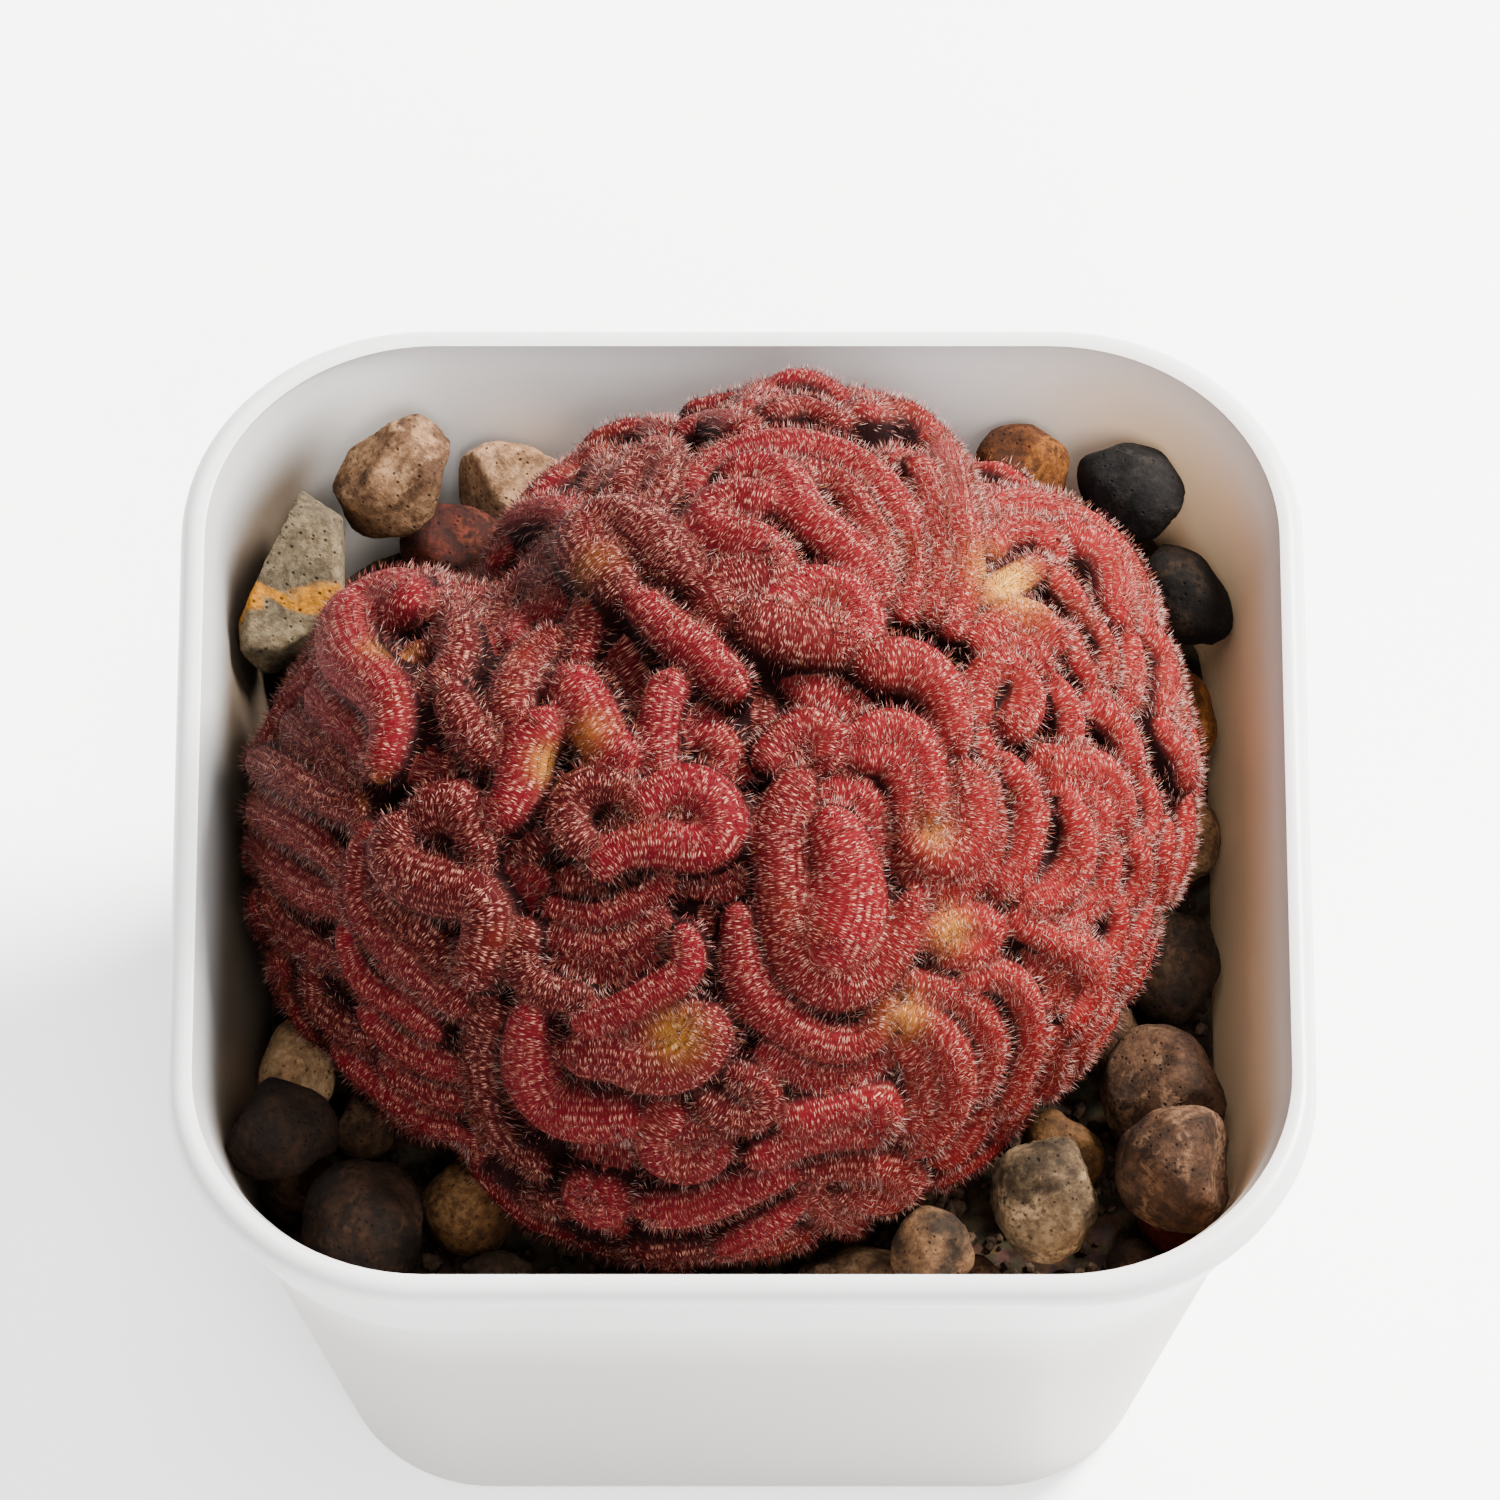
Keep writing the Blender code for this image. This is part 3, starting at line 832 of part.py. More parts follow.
def keep_in_pot(stone):
    """Push a stone off the pot's wall and up from the soil."""
    half = inner_half(stone.centre.z)
    radius = 16.0
    x, y = stone.centre.x, stone.centre.y
    in_corner = abs(x) > half - radius and abs(y) > half - radius
    if in_corner:
        axis = Vector((math.copysign(half - radius, x), math.copysign(half - radius, y), 0))
        away = Vector((x, y, 0)) - axis
        walls = [(away.normalized(), away.length, radius)]
    else:
        walls = [(Vector((math.copysign(1, x), 0, 0)), abs(x), half),
                 (Vector((0, math.copysign(1, y), 0)), abs(y), half)]
    for outward, distance, limit in walls:
        lean = Vector((outward.x, outward.y, -WALL_SLOPE))
        over = distance + stone.reach(lean.normalized()) * lean.length + STONE_GAP - limit
        if over > 0:
            stone.centre -= outward * over
    low = stone.centre.z - stone.reach(Vector((0, 0, 1)))
    stone.centre.z += max(0.0, SOIL_TOP + STONE_GAP - low)


def push_apart(one, other):
    """Move two stones off each other; the distance that was missing."""
    offset = other.centre - one.centre
    if offset.length > STONE_REACH:
        return 0.0
    split, gap = best_split(offset, lambda n: one.reach(n) + other.reach(n))
    if gap < STONE_GAP:
        push = split * (STONE_GAP - gap) * 0.5
        one.centre -= push
        other.centre += push
    return max(0.0, STONE_GAP - gap)


def push_off_dome(stone, right, up):
    """Move a stone off the smooth dome of the crest."""
    offset = stone.centre - Vector(DOME_CENTRE)
    factor = lobe_factor(math.degrees(math.atan2(offset.dot(up), offset.dot(right))))
    split, gap = best_split(offset, lambda n: crest_reach(n, factor) + stone.reach(n))
    if gap < STONE_GAP:
        stone.centre += split * (STONE_GAP - gap)


def push_off_folds(stone, knobs):
    """Move a stone off the single folds; the largest distance that was missing."""
    missing = 0.0
    for centre, radius in knobs:
        offset = stone.centre - centre
        if offset.length < max(stone.radii) + radius + CREST_GAP:
            split, gap = best_split(offset, lambda n: radius + stone.reach(n))
            if gap < CREST_GAP:
                stone.centre += split * (CREST_GAP - gap)
                missing = max(missing, CREST_GAP - gap)
    return missing


def settle(stones, folds):
    """Let the stones sink into place; one that is squeezed at the end gives way in size."""
    right, up, _ = view_axes()
    for _ in range(SINK_ROUNDS):
        for stone in stones:
            stone.centre.z -= SETTLE_DROP
        for i, one in enumerate(stones):
            for other in stones[i + 1:]:
                push_apart(one, other)
        for stone in stones:
            push_off_dome(stone, right, up)
            keep_in_pot(stone)
    knobs = [(point + normal * (lift - width), width) for widths, lift, line in folds
             for (point, normal), width in zip(line, widths)]
    near = {stone.name: [knob for knob in knobs
                         if (knob[0] - stone.centre).length < STONE_REACH] for stone in stones}
    for _ in range(CLEAR_ROUNDS):
        squeeze = {stone.name: 0.0 for stone in stones}
        for i, one in enumerate(stones):
            for other in stones[i + 1:]:
                missing = push_apart(one, other)
                for name in (one.name, other.name):
                    squeeze[name] = max(squeeze[name], missing)
        for stone in stones:
            missing = push_off_folds(stone, near[stone.name])
            keep_in_pot(stone)
            if max(missing, squeeze[stone.name]) > SQUEEZE:
                stone.radii *= SQUEEZE_SHRINK


def make_stone(stone, parts):
    """A faceted pebble: the hull of jittered points spread over its ellipsoid."""
    draw = random.Random(stone.seed)
    bm = bmesh.new()
    golden = math.pi * (3 - math.sqrt(5))
    for i in range(stone.hull_points):
        z = 1 - 2 * (i + 0.5) / stone.hull_points
        spin = golden * i + draw.uniform(-0.35, 0.35)
        flat = math.sqrt(1 - z * z)
        unit = Vector((flat * math.cos(spin), flat * math.sin(spin), z)).normalized()
        local = Vector(a * b for a, b in zip(unit, stone.radii)) * draw.uniform(0.95, 1.0)
        bm.verts.new(stone.centre + stone.rotation @ local)
    hull = bmesh.ops.convex_hull(bm, input=bm.verts)
    bmesh.ops.delete(bm, geom=hull["geom_interior"], context="VERTS")
    return mesh_object(stone.name, mesh_from(bm, stone.name), parts, stone.centre)


def main():
    for obj in list(bpy.data.objects):
        bpy.data.objects.remove(obj)
    parts = bpy.data.collections.new("potted crested cactus")
    cutters = bpy.data.collections.new("cutters")
    bpy.context.scene.collection.children.link(parts)
    bpy.context.scene.collection.children.link(cutters)
    group = bpy.data.objects.new("potted_crest", None)
    parts.objects.link(group)

    finish(make_pot(parts, cutters), material("pot", *COLOURS["pot"]), group, 40)
    finish(make_soil(parts, cutters), material("soil", *COLOURS["soil"]), group)
    folds = crest_folds()
    finish(make_crest(folds, parts, cutters), material("crest", *COLOURS["crest"]), group, 60)
    stones = [Stone(*row) for row in STONES]
    settle(stones, folds)
    for stone in stones:
        finish(make_stone(stone, parts), material(stone.name, *COLOURS["stone"]), group, 25)


main()
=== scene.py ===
"""Looks of the potted crested cactus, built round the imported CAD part.

Lengths are millimetres in the tables and metres (times MM) in the scene. The crest's folds are
read on the view plane of someone who looks from the front and steeply from above.
"""

import math
import random

import bmesh
import bpy
import numpy as np
from mathutils import Matrix, Vector, noise
from mathutils.bvhtree import BVHTree
from mathutils.kdtree import KDTree


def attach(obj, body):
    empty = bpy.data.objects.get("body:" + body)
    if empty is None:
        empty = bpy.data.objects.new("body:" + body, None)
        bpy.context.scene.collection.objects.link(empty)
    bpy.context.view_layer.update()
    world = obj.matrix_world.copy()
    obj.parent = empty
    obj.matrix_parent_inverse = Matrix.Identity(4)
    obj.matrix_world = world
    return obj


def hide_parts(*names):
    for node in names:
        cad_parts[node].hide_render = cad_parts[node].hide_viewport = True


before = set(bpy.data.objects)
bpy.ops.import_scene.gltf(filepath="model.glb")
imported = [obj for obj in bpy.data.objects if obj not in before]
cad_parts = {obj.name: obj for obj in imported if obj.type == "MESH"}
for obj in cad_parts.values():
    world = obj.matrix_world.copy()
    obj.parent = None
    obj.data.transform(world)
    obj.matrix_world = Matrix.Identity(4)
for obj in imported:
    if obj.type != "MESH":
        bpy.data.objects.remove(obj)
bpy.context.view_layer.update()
MM = 0.001


# Pot: a square moulded pot with round corners, a rolled lip and a shallow skirt under the lip.
# It follows the CAD pot ring by ring, with rounder corners and a softer lip.
RIM_HALF = 45.0
POT_HEIGHT = 54.1
SKIRT_DEPTH = 11.5
FLOOR_THICK = 2.2
WALL_INSET = 3.8              # outer wall at the skirt's foot, in from the rim
INNER_INSET = 5.05            # inner wall at the same height, in from the rim
WALL_SLOPE = 0.205            # run of the wall per millimetre of height below the skirt's foot
SKIRT_FLARE = 0.25            # and of the inner wall above it
CORNER_STEPS = 20
DRAIN_RADIUS = 3.0
DRAIN_REACH = 15.0            # how far the outer drain holes lie from the middle one
PLASTIC_TONES = (0.60, 0.60, 0.597), (0.64, 0.64, 0.637)
DUST = (0.60, 0.57, 0.53)
DUST_RISE = (0.046, 0.030)    # heights in metres between which the dust, and the painted light and shade on the inner walls, fade in
PAINTED_LIGHT_AND_SHADE_RISE = (0.0575, 0.0455)
# Painted shade on the left inner wall, painted light on the back and front ones, painted warm light on
# the right one
PAINTED_SHADE_LEFT = (0.11, 0.08, 0.055)
PAINTED_LIGHT_MIDDLE = (1.40, 1.35, 1.31)
PAINTED_WARM_LIGHT_RIGHT = (1.28, 0.86, 0.52)


def link(name, mesh, smooth=True):
    """A new object in the scene for a mesh whose vertices are already in place, in metres."""
    obj = bpy.data.objects.new(name, mesh)
    bpy.context.scene.collection.objects.link(obj)
    if smooth:
        mesh.shade_smooth()
    return obj


def apply_modifier(obj, modifier):
    """Apply one modifier of an object."""
    bpy.ops.object.select_all(action="DESELECT")
    obj.select_set(True)
    bpy.context.view_layer.objects.active = obj
    bpy.ops.object.modifier_apply(modifier=modifier.name)


def material(name):
    """A new node material: (material, its tree, its Principled shader)."""
    mat = bpy.data.materials.new(name)
    mat.use_nodes = True
    return mat, mat.node_tree, mat.node_tree.nodes["Principled BSDF"]


def add(tree, kind, values=(), **settings):
    """A node of that kind; values maps an input to a plain value or to the socket it reads."""
    node = tree.nodes.new("ShaderNode" + kind)
    for key, value in settings.items():
        setattr(node, key, value)
    for key, value in dict(values).items():
        if isinstance(value, bpy.types.NodeSocket):
            tree.links.new(value, node.inputs[key])
        else:
            node.inputs[key].default_value = value
    return node


def mix(tree, factor, one, two, blend="MIX"):
    """Colour mix of two colours or sockets; the result's socket."""
    node = add(tree, "Mix", data_type="RGBA", blend_type=blend)
    for index, value in ((0, factor), (6, one), (7, two)):
        if isinstance(value, bpy.types.NodeSocket):
            tree.links.new(value, node.inputs[index])
        elif index:
            node.inputs[index].default_value = (*value, 1)
        else:
            node.inputs[index].default_value = value
    return node.outputs[2]


def ramp(tree, source, low, high):
    """Source remapped so that low gives 0 and high gives 1, clamped and eased."""
    node = add(tree, "MapRange", {"Value": source, "From Min": low, "From Max": high},
               interpolation_type="SMOOTHSTEP")
    return node.outputs["Result"]


def square_ring(bm, half, radius, z):
    """One ring of a square with round corners."""
    ring = []
    for quarter in range(4):
        middle = math.pi / 2 * (quarter + 0.5)
        corner_x = math.copysign(half - radius, math.cos(middle))
        corner_y = math.copysign(half - radius, math.sin(middle))
        for step in range(CORNER_STEPS + 1):
            angle = math.pi / 2 * (quarter + step / CORNER_STEPS)
            x = corner_x + radius * math.cos(angle)
            y = corner_y + radius * math.sin(angle)
            ring.append(bm.verts.new((x * MM, y * MM, z * MM)))
    return ring


def inner_half(z):
    """Half width of the pot's inside at a height."""
    rise = z - (POT_HEIGHT - SKIRT_DEPTH)
    slope = SKIRT_FLARE if rise > 0 else WALL_SLOPE
    return RIM_HALF - INNER_INSET + slope * rise


def pot_levels():
    """Rings of the pot as (half width, corner radius, z), up its outside and down its inside."""
    top = POT_HEIGHT
    foot = top - SKIRT_DEPTH
    wall = RIM_HALF - WALL_INSET
    edge = 0.7
    base = wall - WALL_SLOPE * (foot - edge)
    hollow = FLOOR_THICK + 1.2
    return [
        # rounded edge of the base
        (base - 0.75, 11.7, 0.0), (base - 0.25, 12.1, 0.12), (base, 12.4, edge),
        # wall up to the skirt, and the step out to it
        (wall - 0.15, 17.4, foot - 0.6), (wall + 0.1, 17.6, foot - 0.15),
        (wall + 0.55, 18.0, foot + 0.05), (wall + 0.9, 18.3, foot + 0.5),
        # underside and nose of the rolled lip
        (RIM_HALF - 1.15, 19.0, top - 3.7), (RIM_HALF - 0.75, 19.2, top - 3.2),
        (RIM_HALF - 0.2, 19.4, top - 2.6), (RIM_HALF, 19.5, top - 1.7),
        (RIM_HALF - 0.1, 19.5, top - 1.0), (RIM_HALF - 0.42, 19.3, top - 0.42),
        # its crown, rolled over to the inside
        (RIM_HALF - 0.95, 18.9, top - 0.06), (RIM_HALF - 1.4, 18.6, top),
        (RIM_HALF - 1.95, 18.3, top - 0.2), (inner_half(top) + 0.15, 18.1, top - 0.75),
        # inner wall down to the floor
        (inner_half(top - 2), 17.9, top - 2), (inner_half(foot), 16.4, foot),
        (inner_half(hollow), 11.0, hollow), (inner_half(FLOOR_THICK) - 1.0, 10.4, FLOOR_THICK),
    ]


def pot_mesh():
    """The pot as one closed skin."""
    bm = bmesh.new()
    rings = [square_ring(bm, *level) for level in pot_levels()]
    for low, high in zip(rings, rings[1:]):
        for i in range(len(low)):
            j = (i + 1) % len(low)
            bm.faces.new((low[i], low[j], high[j], high[i]))
    bm.faces.new(reversed(rings[0]))
    bm.faces.new(rings[-1])
    bmesh.ops.recalc_face_normals(bm, faces=bm.faces)
    mesh = bpy.data.meshes.new("potted_pot")
    bm.to_mesh(mesh)
    bm.free()
    return mesh


pot = link("pot_moulded", pot_mesh())
for hole in range(5):
    reach = DRAIN_REACH if hole < 4 else 0.0
    turn = math.pi / 4 + hole * math.pi / 2
    bpy.ops.mesh.primitive_cylinder_add(
        vertices=32, radius=DRAIN_RADIUS * MM, depth=8 * MM,
        location=(reach * math.cos(turn) * MM, reach * math.sin(turn) * MM, FLOOR_THICK / 2 * MM))
    drill = bpy.context.object
    cut = pot.modifiers.new("drain", "BOOLEAN")
    cut.object = drill
    cut.solver = "EXACT"
    apply_modifier(pot, cut)
    bpy.data.objects.remove(drill)
pot.data.set_sharp_from_angle(angle=math.radians(50))
# Mark the skin that faces the middle of the pot, for the painted light and shade on its inner walls
wall_marks = pot.data.attributes.new("inside", "FLOAT", "POINT")
for vert in pot.data.vertices:
    outward = Vector((vert.co.x, vert.co.y, 0)).normalized()
    wall_marks.data[vert.index].value = float(vert.normal.dot(outward) < -0.3)

plastic, tree, shader = material("pot_plastic")
place = add(tree, "TexCoord").outputs["Object"]
cloud = add(tree, "TexNoise", {"Vector": place, "Scale": 45.0, "Detail": 3.0}).outputs["Fac"]
grain = add(tree, "TexNoise", {"Vector": place, "Scale": 900.0, "Detail": 2.0}).outputs["Fac"]
height = add(tree, "SeparateXYZ", {"Vector": place}).outputs["Z"]
white = mix(tree, ramp(tree, cloud, 0.3, 0.7), *PLASTIC_TONES)
white = mix(tree, ramp(tree, height, *DUST_RISE), white, DUST, "MULTIPLY")
# Painted light and shade on the inner walls, stronger towards the soil: shade on the left, light in the
# middle, warm light on the right
inside = add(tree, "Attribute", attribute_name="inside").outputs["Fac"]
painted_light_mask = add(tree, "Math", {0: inside, 1: ramp(tree, height, *PAINTED_LIGHT_AND_SHADE_RISE)},
            operation="MULTIPLY").outputs[0]
sideways = add(tree, "SeparateXYZ", {"Vector": place}).outputs["X"]
painted_wall_tone = mix(tree, ramp(tree, sideways, -0.037, -0.025), PAINTED_SHADE_LEFT, PAINTED_LIGHT_MIDDLE)
painted_wall_tone = mix(tree, ramp(tree, sideways, 0.015, 0.036), painted_wall_tone, PAINTED_WARM_LIGHT_RIGHT)
tree.links.new(mix(tree, painted_light_mask, white, painted_wall_tone, "MULTIPLY"), shader.inputs["Base Color"])
rough = add(tree, "MapRange", {"Value": cloud, "To Min": 0.30, "To Max": 0.42}).outputs["Result"]
tree.links.new(rough, shader.inputs["Roughness"])
bump = add(tree, "Bump", {"Strength": 0.06, "Distance": 0.0002, "Height": grain})
tree.links.new(bump.outputs["Normal"], shader.inputs["Normal"])
shader.inputs["Subsurface Weight"].default_value = 0.45
shader.inputs["Subsurface Radius"].default_value = (0.0055, 0.0042, 0.0034)
pot.data.materials.append(plastic)
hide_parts("pot")
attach(pot, "root")


# Soil: the CAD block stays, with a dark damp look; loose grit covers its top between the stones.
SOIL_TOP = 33.0
SOIL_TONES = (0.010, 0.006, 0.004), (0.042, 0.027, 0.017)
GRIT_COUNT = 1400
GRIT_SIZE = (0.5, 1.7)
GRIT_TONES = (0.016, 0.010, 0.007), (0.06, 0.038, 0.024)
GRIT_CLEAR = 1.2              # room between the grit and the pot's wall
GRIT_CORNER = 15.0            # radius of the round corners of the ground that it covers
CREST_FOOT = (-1.8, 1.6, 27.0)      # centre and radius of the ground that the crest hides

soil_look, tree, shader = material("soil_grit")
place = add(tree, "TexCoord").outputs["Object"]
lump = add(tree, "TexNoise", {"Vector": place, "Scale": 420.0, "Detail": 6.0}).outputs["Fac"]
crumb = add(tree, "TexVoronoi", {"Vector": place, "Scale": 900.0})
tone = mix(tree, ramp(tree, lump, 0.35, 0.65), *SOIL_TONES)
tree.links.new(mix(tree, 0.35, tone, crumb.outputs["Color"], "MULTIPLY"),
               shader.inputs["Base Color"])
shader.inputs["Roughness"].default_value = 0.93
shader.inputs["Specular IOR Level"].default_value = 0.05
bump = add(tree, "Bump", {"Strength": 0.9, "Distance": 0.0008, "Height": lump})
tree.links.new(bump.outputs["Normal"], shader.inputs["Normal"])
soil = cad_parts["soil"]
soil.data.materials.clear()
soil.data.materials.append(soil_look)

draw = random.Random(5)
bm = bmesh.new()
placed = 0
while placed < GRIT_COUNT:
    half = inner_half(SOIL_TOP) - GRIT_CLEAR
    x = draw.uniform(-half, half)
    y = draw.uniform(-half, half)
    if math.hypot(x - CREST_FOOT[0], y - CREST_FOOT[1]) < CREST_FOOT[2]:
        continue
    past_x, past_y = [max(0.0, abs(way) - (half - GRIT_CORNER)) for way in (x, y)]
    if past_x and past_y and math.hypot(past_x, past_y) > GRIT_CORNER - 0.4:
        continue
    size = draw.uniform(*GRIT_SIZE)
    made = bmesh.ops.create_icosphere(bm, subdivisions=1, radius=size * 0.5 * MM)["verts"]
    turn = Matrix.Rotation(draw.uniform(0, 6.28), 3, Vector((draw.random(), draw.random(), 0.4)))
    squash = Matrix.Diagonal((draw.uniform(0.7, 1.2), draw.uniform(0.7, 1.2), 0.7))
    spot = Vector((x, y, SOIL_TOP + size * 0.22)) * MM
    for vert in made:
        vert.co = turn @ squash @ vert.co * draw.uniform(0.85, 1.15) + spot
    placed += 1
mesh = bpy.data.meshes.new("grit")
bm.to_mesh(mesh)
bm.free()
grit = link("soil_loose_grit", mesh, smooth=False)
grit_look, tree, shader = material("grit_grains")
place = add(tree, "TexCoord").outputs["Object"]
patch = add(tree, "TexVoronoi", {"Vector": place, "Scale": 650.0}).outputs["Color"]
pick = add(tree, "SeparateColor", {"Color": patch}).outputs["Red"]
tone = mix(tree, ramp(tree, pick, 0.2, 0.9), *GRIT_TONES)
fine = add(tree, "TexNoise", {"Vector": place, "Scale": 2500.0, "Detail": 3.0}).outputs["Fac"]
tree.links.new(mix(tree, ramp(tree, fine, 0.3, 0.8), tone, (0.55, 0.5, 0.45), "MULTIPLY"),
               shader.inputs["Base Color"])
shader.inputs["Roughness"].default_value = 0.9
shader.inputs["Specular IOR Level"].default_value = 0.05
grit.data.materials.append(grit_look)
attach(grit, "root")


# Stones: each CAD pebble is rounded, worn and pitted; one shared group makes their mineral looks.
# Rows: node, light colour, dark colour, vein colour, share of vein, angularity 0 to 1
STONE_LOOKS = [
    ("stone_tall", (0.62, 0.68, 0.62), (0.30, 0.34, 0.32), (1.3, 0.75, 0.06), 0.0, 0.9),
    ("stone_tan", (0.95, 0.76, 0.60), (0.22, 0.15, 0.11), (0.99, 0.85, 0.70), 0.35, 0.85),
    ("stone_pale_back", (1.50, 1.30, 1.15), (0.8, 0.62, 0.48), (0.99, 0.95, 0.85), 0.25, 0.6),
    ("stone_red_back", (0.22, 0.05, 0.035), (0.06, 0.02, 0.015), (0.5, 0.15, 0.10), 0.2, 0.3),
    ("stone_orange_back", (0.38, 0.17, 0.05), (0.14, 0.06, 0.02), (0.6, 0.3, 0.06), 0.3, 0.3),
    ("stone_navy", (0.035, 0.042, 0.060), (0.010, 0.012, 0.018), (0.12, 0.13, 0.16), 0.15, 0.35),
    ("stone_black_right", (0.030, 0.026, 0.024), (0.008, 0.007, 0.006), (0.1, 0.08, 0.06), 0.2, 0.3),
    ("stone_ochre_right", (0.70, 0.34, 0.08), (0.26, 0.12, 0.04), (0.8, 0.5, 0.14), 0.3, 0.3),
    ("stone_grey_right", (0.9, 0.7, 0.5), (0.3, 0.22, 0.16), (0.7, 0.55, 0.42), 0.3, 0.3),
    ("stone_dark_right", (0.10, 0.075, 0.055), (0.025, 0.02, 0.015), (0.2, 0.14, 0.1), 0.2, 0.3),
    ("stone_large_right", (0.22, 0.15, 0.115), (0.075, 0.05, 0.038), (0.40, 0.31, 0.25), 0.35, 0.4),
    ("stone_red_right", (0.22, 0.03, 0.025), (0.08, 0.012, 0.01), (0.3, 0.1, 0.08), 0.1, 0.2),
    ("stone_pink_corner", (0.25, 0.17, 0.13), (0.075, 0.05, 0.038), (0.42, 0.32, 0.26), 0.35, 0.45),
    ("stone_speckled", (0.48, 0.45, 0.36), (0.10, 0.09, 0.07), (0.75, 0.72, 0.62), 0.4, 0.5),
    ("stone_ochre_front", (0.38, 0.26, 0.12), (0.15, 0.09, 0.04), (0.5, 0.38, 0.2), 0.3, 0.35),
    ("stone_round_front", (0.40, 0.30, 0.21), (0.06, 0.05, 0.04), (0.4, 0.34, 0.26), 0.4, 0.1),
    ("stone_wide_front", (0.34, 0.27, 0.20), (0.12, 0.09, 0.07), (0.46, 0.4, 0.33), 0.3, 0.3),
    ("stone_pink_front", (0.30, 0.20, 0.16), (0.11, 0.07, 0.05), (0.42, 0.33, 0.27), 0.3, 0.4),
    ("stone_beige_left", (0.20, 0.14, 0.10), (0.06, 0.045, 0.035), (0.3, 0.24, 0.18), 0.3, 0.3),
    ("stone_dark_left", (0.07, 0.045, 0.032), (0.022, 0.015, 0.011), (0.12, 0.08, 0.06), 0.2, 0.25),
    ("stone_brown_corner", (0.085, 0.052, 0.034), (0.024, 0.016, 0.012), (0.14, 0.10, 0.07), 0.3, 0.15),
    ("stone_ochre_left", (0.40, 0.26, 0.12), (0.15, 0.09, 0.045), (0.5, 0.37, 0.22), 0.3, 0.25),
    ("stone_grey_front", (0.12, 0.10, 0.085), (0.035, 0.03, 0.026), (0.2, 0.18, 0.15), 0.3, 0.3),
    ("stone_mid_front", (0.17, 0.12, 0.09), (0.05, 0.04, 0.03), (0.27, 0.2, 0.15), 0.3, 0.3),
    ("stone_mid_front_2", (0.24, 0.17, 0.11), (0.08, 0.06, 0.04), (0.33, 0.27, 0.2), 0.3, 0.3),
    ("stone_left_low", (1.6, 1.4, 1.1), (0.8, 0.62, 0.48), (0.8, 0.75, 0.62), 0.25, 0.3),
    ("stone_left_mid", (0.14, 0.10, 0.08), (0.04, 0.03, 0.025), (0.24, 0.18, 0.14), 0.3, 0.3),
    ("stone_left_high", (0.26, 0.20, 0.14), (0.09, 0.07, 0.05), (0.36, 0.3, 0.23), 0.3, 0.3),
    ("stone_left_back", (0.17, 0.13, 0.10), (0.05, 0.04, 0.03), (0.28, 0.22, 0.17), 0.3, 0.3),
    ("stone_under_tan", (0.20, 0.13, 0.09), (0.06, 0.04, 0.03), (0.3, 0.22, 0.16), 0.3, 0.3),
    ("stone_under_pale", (0.13, 0.09, 0.07), (0.04, 0.03, 0.022), (0.22, 0.16, 0.12), 0.3, 0.3),
    ("stone_back_left", (0.22, 0.16, 0.12), (0.07, 0.05, 0.04), (0.32, 0.26, 0.2), 0.3, 0.3),
    ("stone_back_mid", (0.16, 0.12, 0.09), (0.05, 0.04, 0.03), (0.26, 0.2, 0.15), 0.3, 0.3),
    ("stone_back_right", (0.30, 0.21, 0.13), (0.10, 0.07, 0.05), (0.4, 0.31, 0.22), 0.3, 0.3),
    ("stone_under_orange", (0.15, 0.10, 0.07), (0.05, 0.03, 0.025), (0.25, 0.18, 0.13), 0.3, 0.3),
    ("stone_under_navy", (0.12, 0.09, 0.07), (0.04, 0.03, 0.024), (0.2, 0.16, 0.12), 0.3, 0.3),
    ("stone_corner_left", (0.15, 0.10, 0.075), (0.05, 0.035, 0.03), (0.25, 0.2, 0.15), 0.3, 0.3),
    ("stone_front_low_left", (0.27, 0.17, 0.10), (0.09, 0.06, 0.04), (0.36, 0.27, 0.19), 0.3, 0.3),
    ("stone_corner_front", (0.18, 0.13, 0.10), (0.06, 0.04, 0.03), (0.28, 0.22, 0.17), 0.3, 0.3),
    ("stone_corner_right", (0.24, 0.17, 0.12), (0.08, 0.06, 0.045), (0.34, 0.27, 0.21), 0.3, 0.3),
    ("stone_low_right", (0.20, 0.14, 0.09), (0.06, 0.045, 0.03), (0.3, 0.23, 0.17), 0.3, 0.3),
    ("stone_low_left", (0.17, 0.12, 0.085), (0.05, 0.04, 0.03), (0.27, 0.2, 0.15), 0.3, 0.3),
    ("stone_low_corner", (0.14, 0.10, 0.08), (0.045, 0.034, 0.027), (0.24, 0.18, 0.14), 0.3, 0.3),
    ("stone_right_back", (0.12, 0.085, 0.06), (0.04, 0.03, 0.02), (0.2, 0.15, 0.11), 0.3, 0.3),
]
# The tall slab's flat sides: the way each faces, and how far out it lies
TALL_FLATS = [((0.05, -0.55, 0.83), 0.52), ((-0.90, 0.37, 0.22), 0.47), ((0.55, 0.71, 0.44), 0.72),
              ((1.0, 0.0, 0.0), 0.74)]
STONE_SHIFT = {"stone_tan": (0.0, -2.0, -1.8), "stone_pale_back": (-1.0, 0.0, 0.0)}
STONE_SWELL = (1.10, 0.05)    # a pebble's size over its CAD hull, and more for an angular one,
                              # because the rounding of its edges draws it in
STONE_FLATS = 11              # flat sides that are cut on the most angular pebble
STONE_DENTS = ((420, 0.28), (1300, 0.09))    # how many dents to a metre, and how deep they are
STONE_BULGES = (170, 0.9)                    # the same for the broad bulges of a round pebble
TALL_STREAK = 0.0232          # y of the ochre streak on the tall slab, in metres
NO_STREAK = -1.0
DAMP = (0.23, 0.155, 0.098)    # the pebbles are damp: darker and warmer than the dry colours
FINE_STONES = {"stone_tall", "stone_tan", "stone_pale_back", "stone_large_right",
               "stone_pink_corner", "stone_speckled", "stone_brown_corner", "stone_dark_left",
               "stone_beige_left", "stone_wide_front"}


def damp(colour):
    """A dry stone's colour as it looks damp."""
    return [channel * share for channel, share in zip(colour, DAMP)]


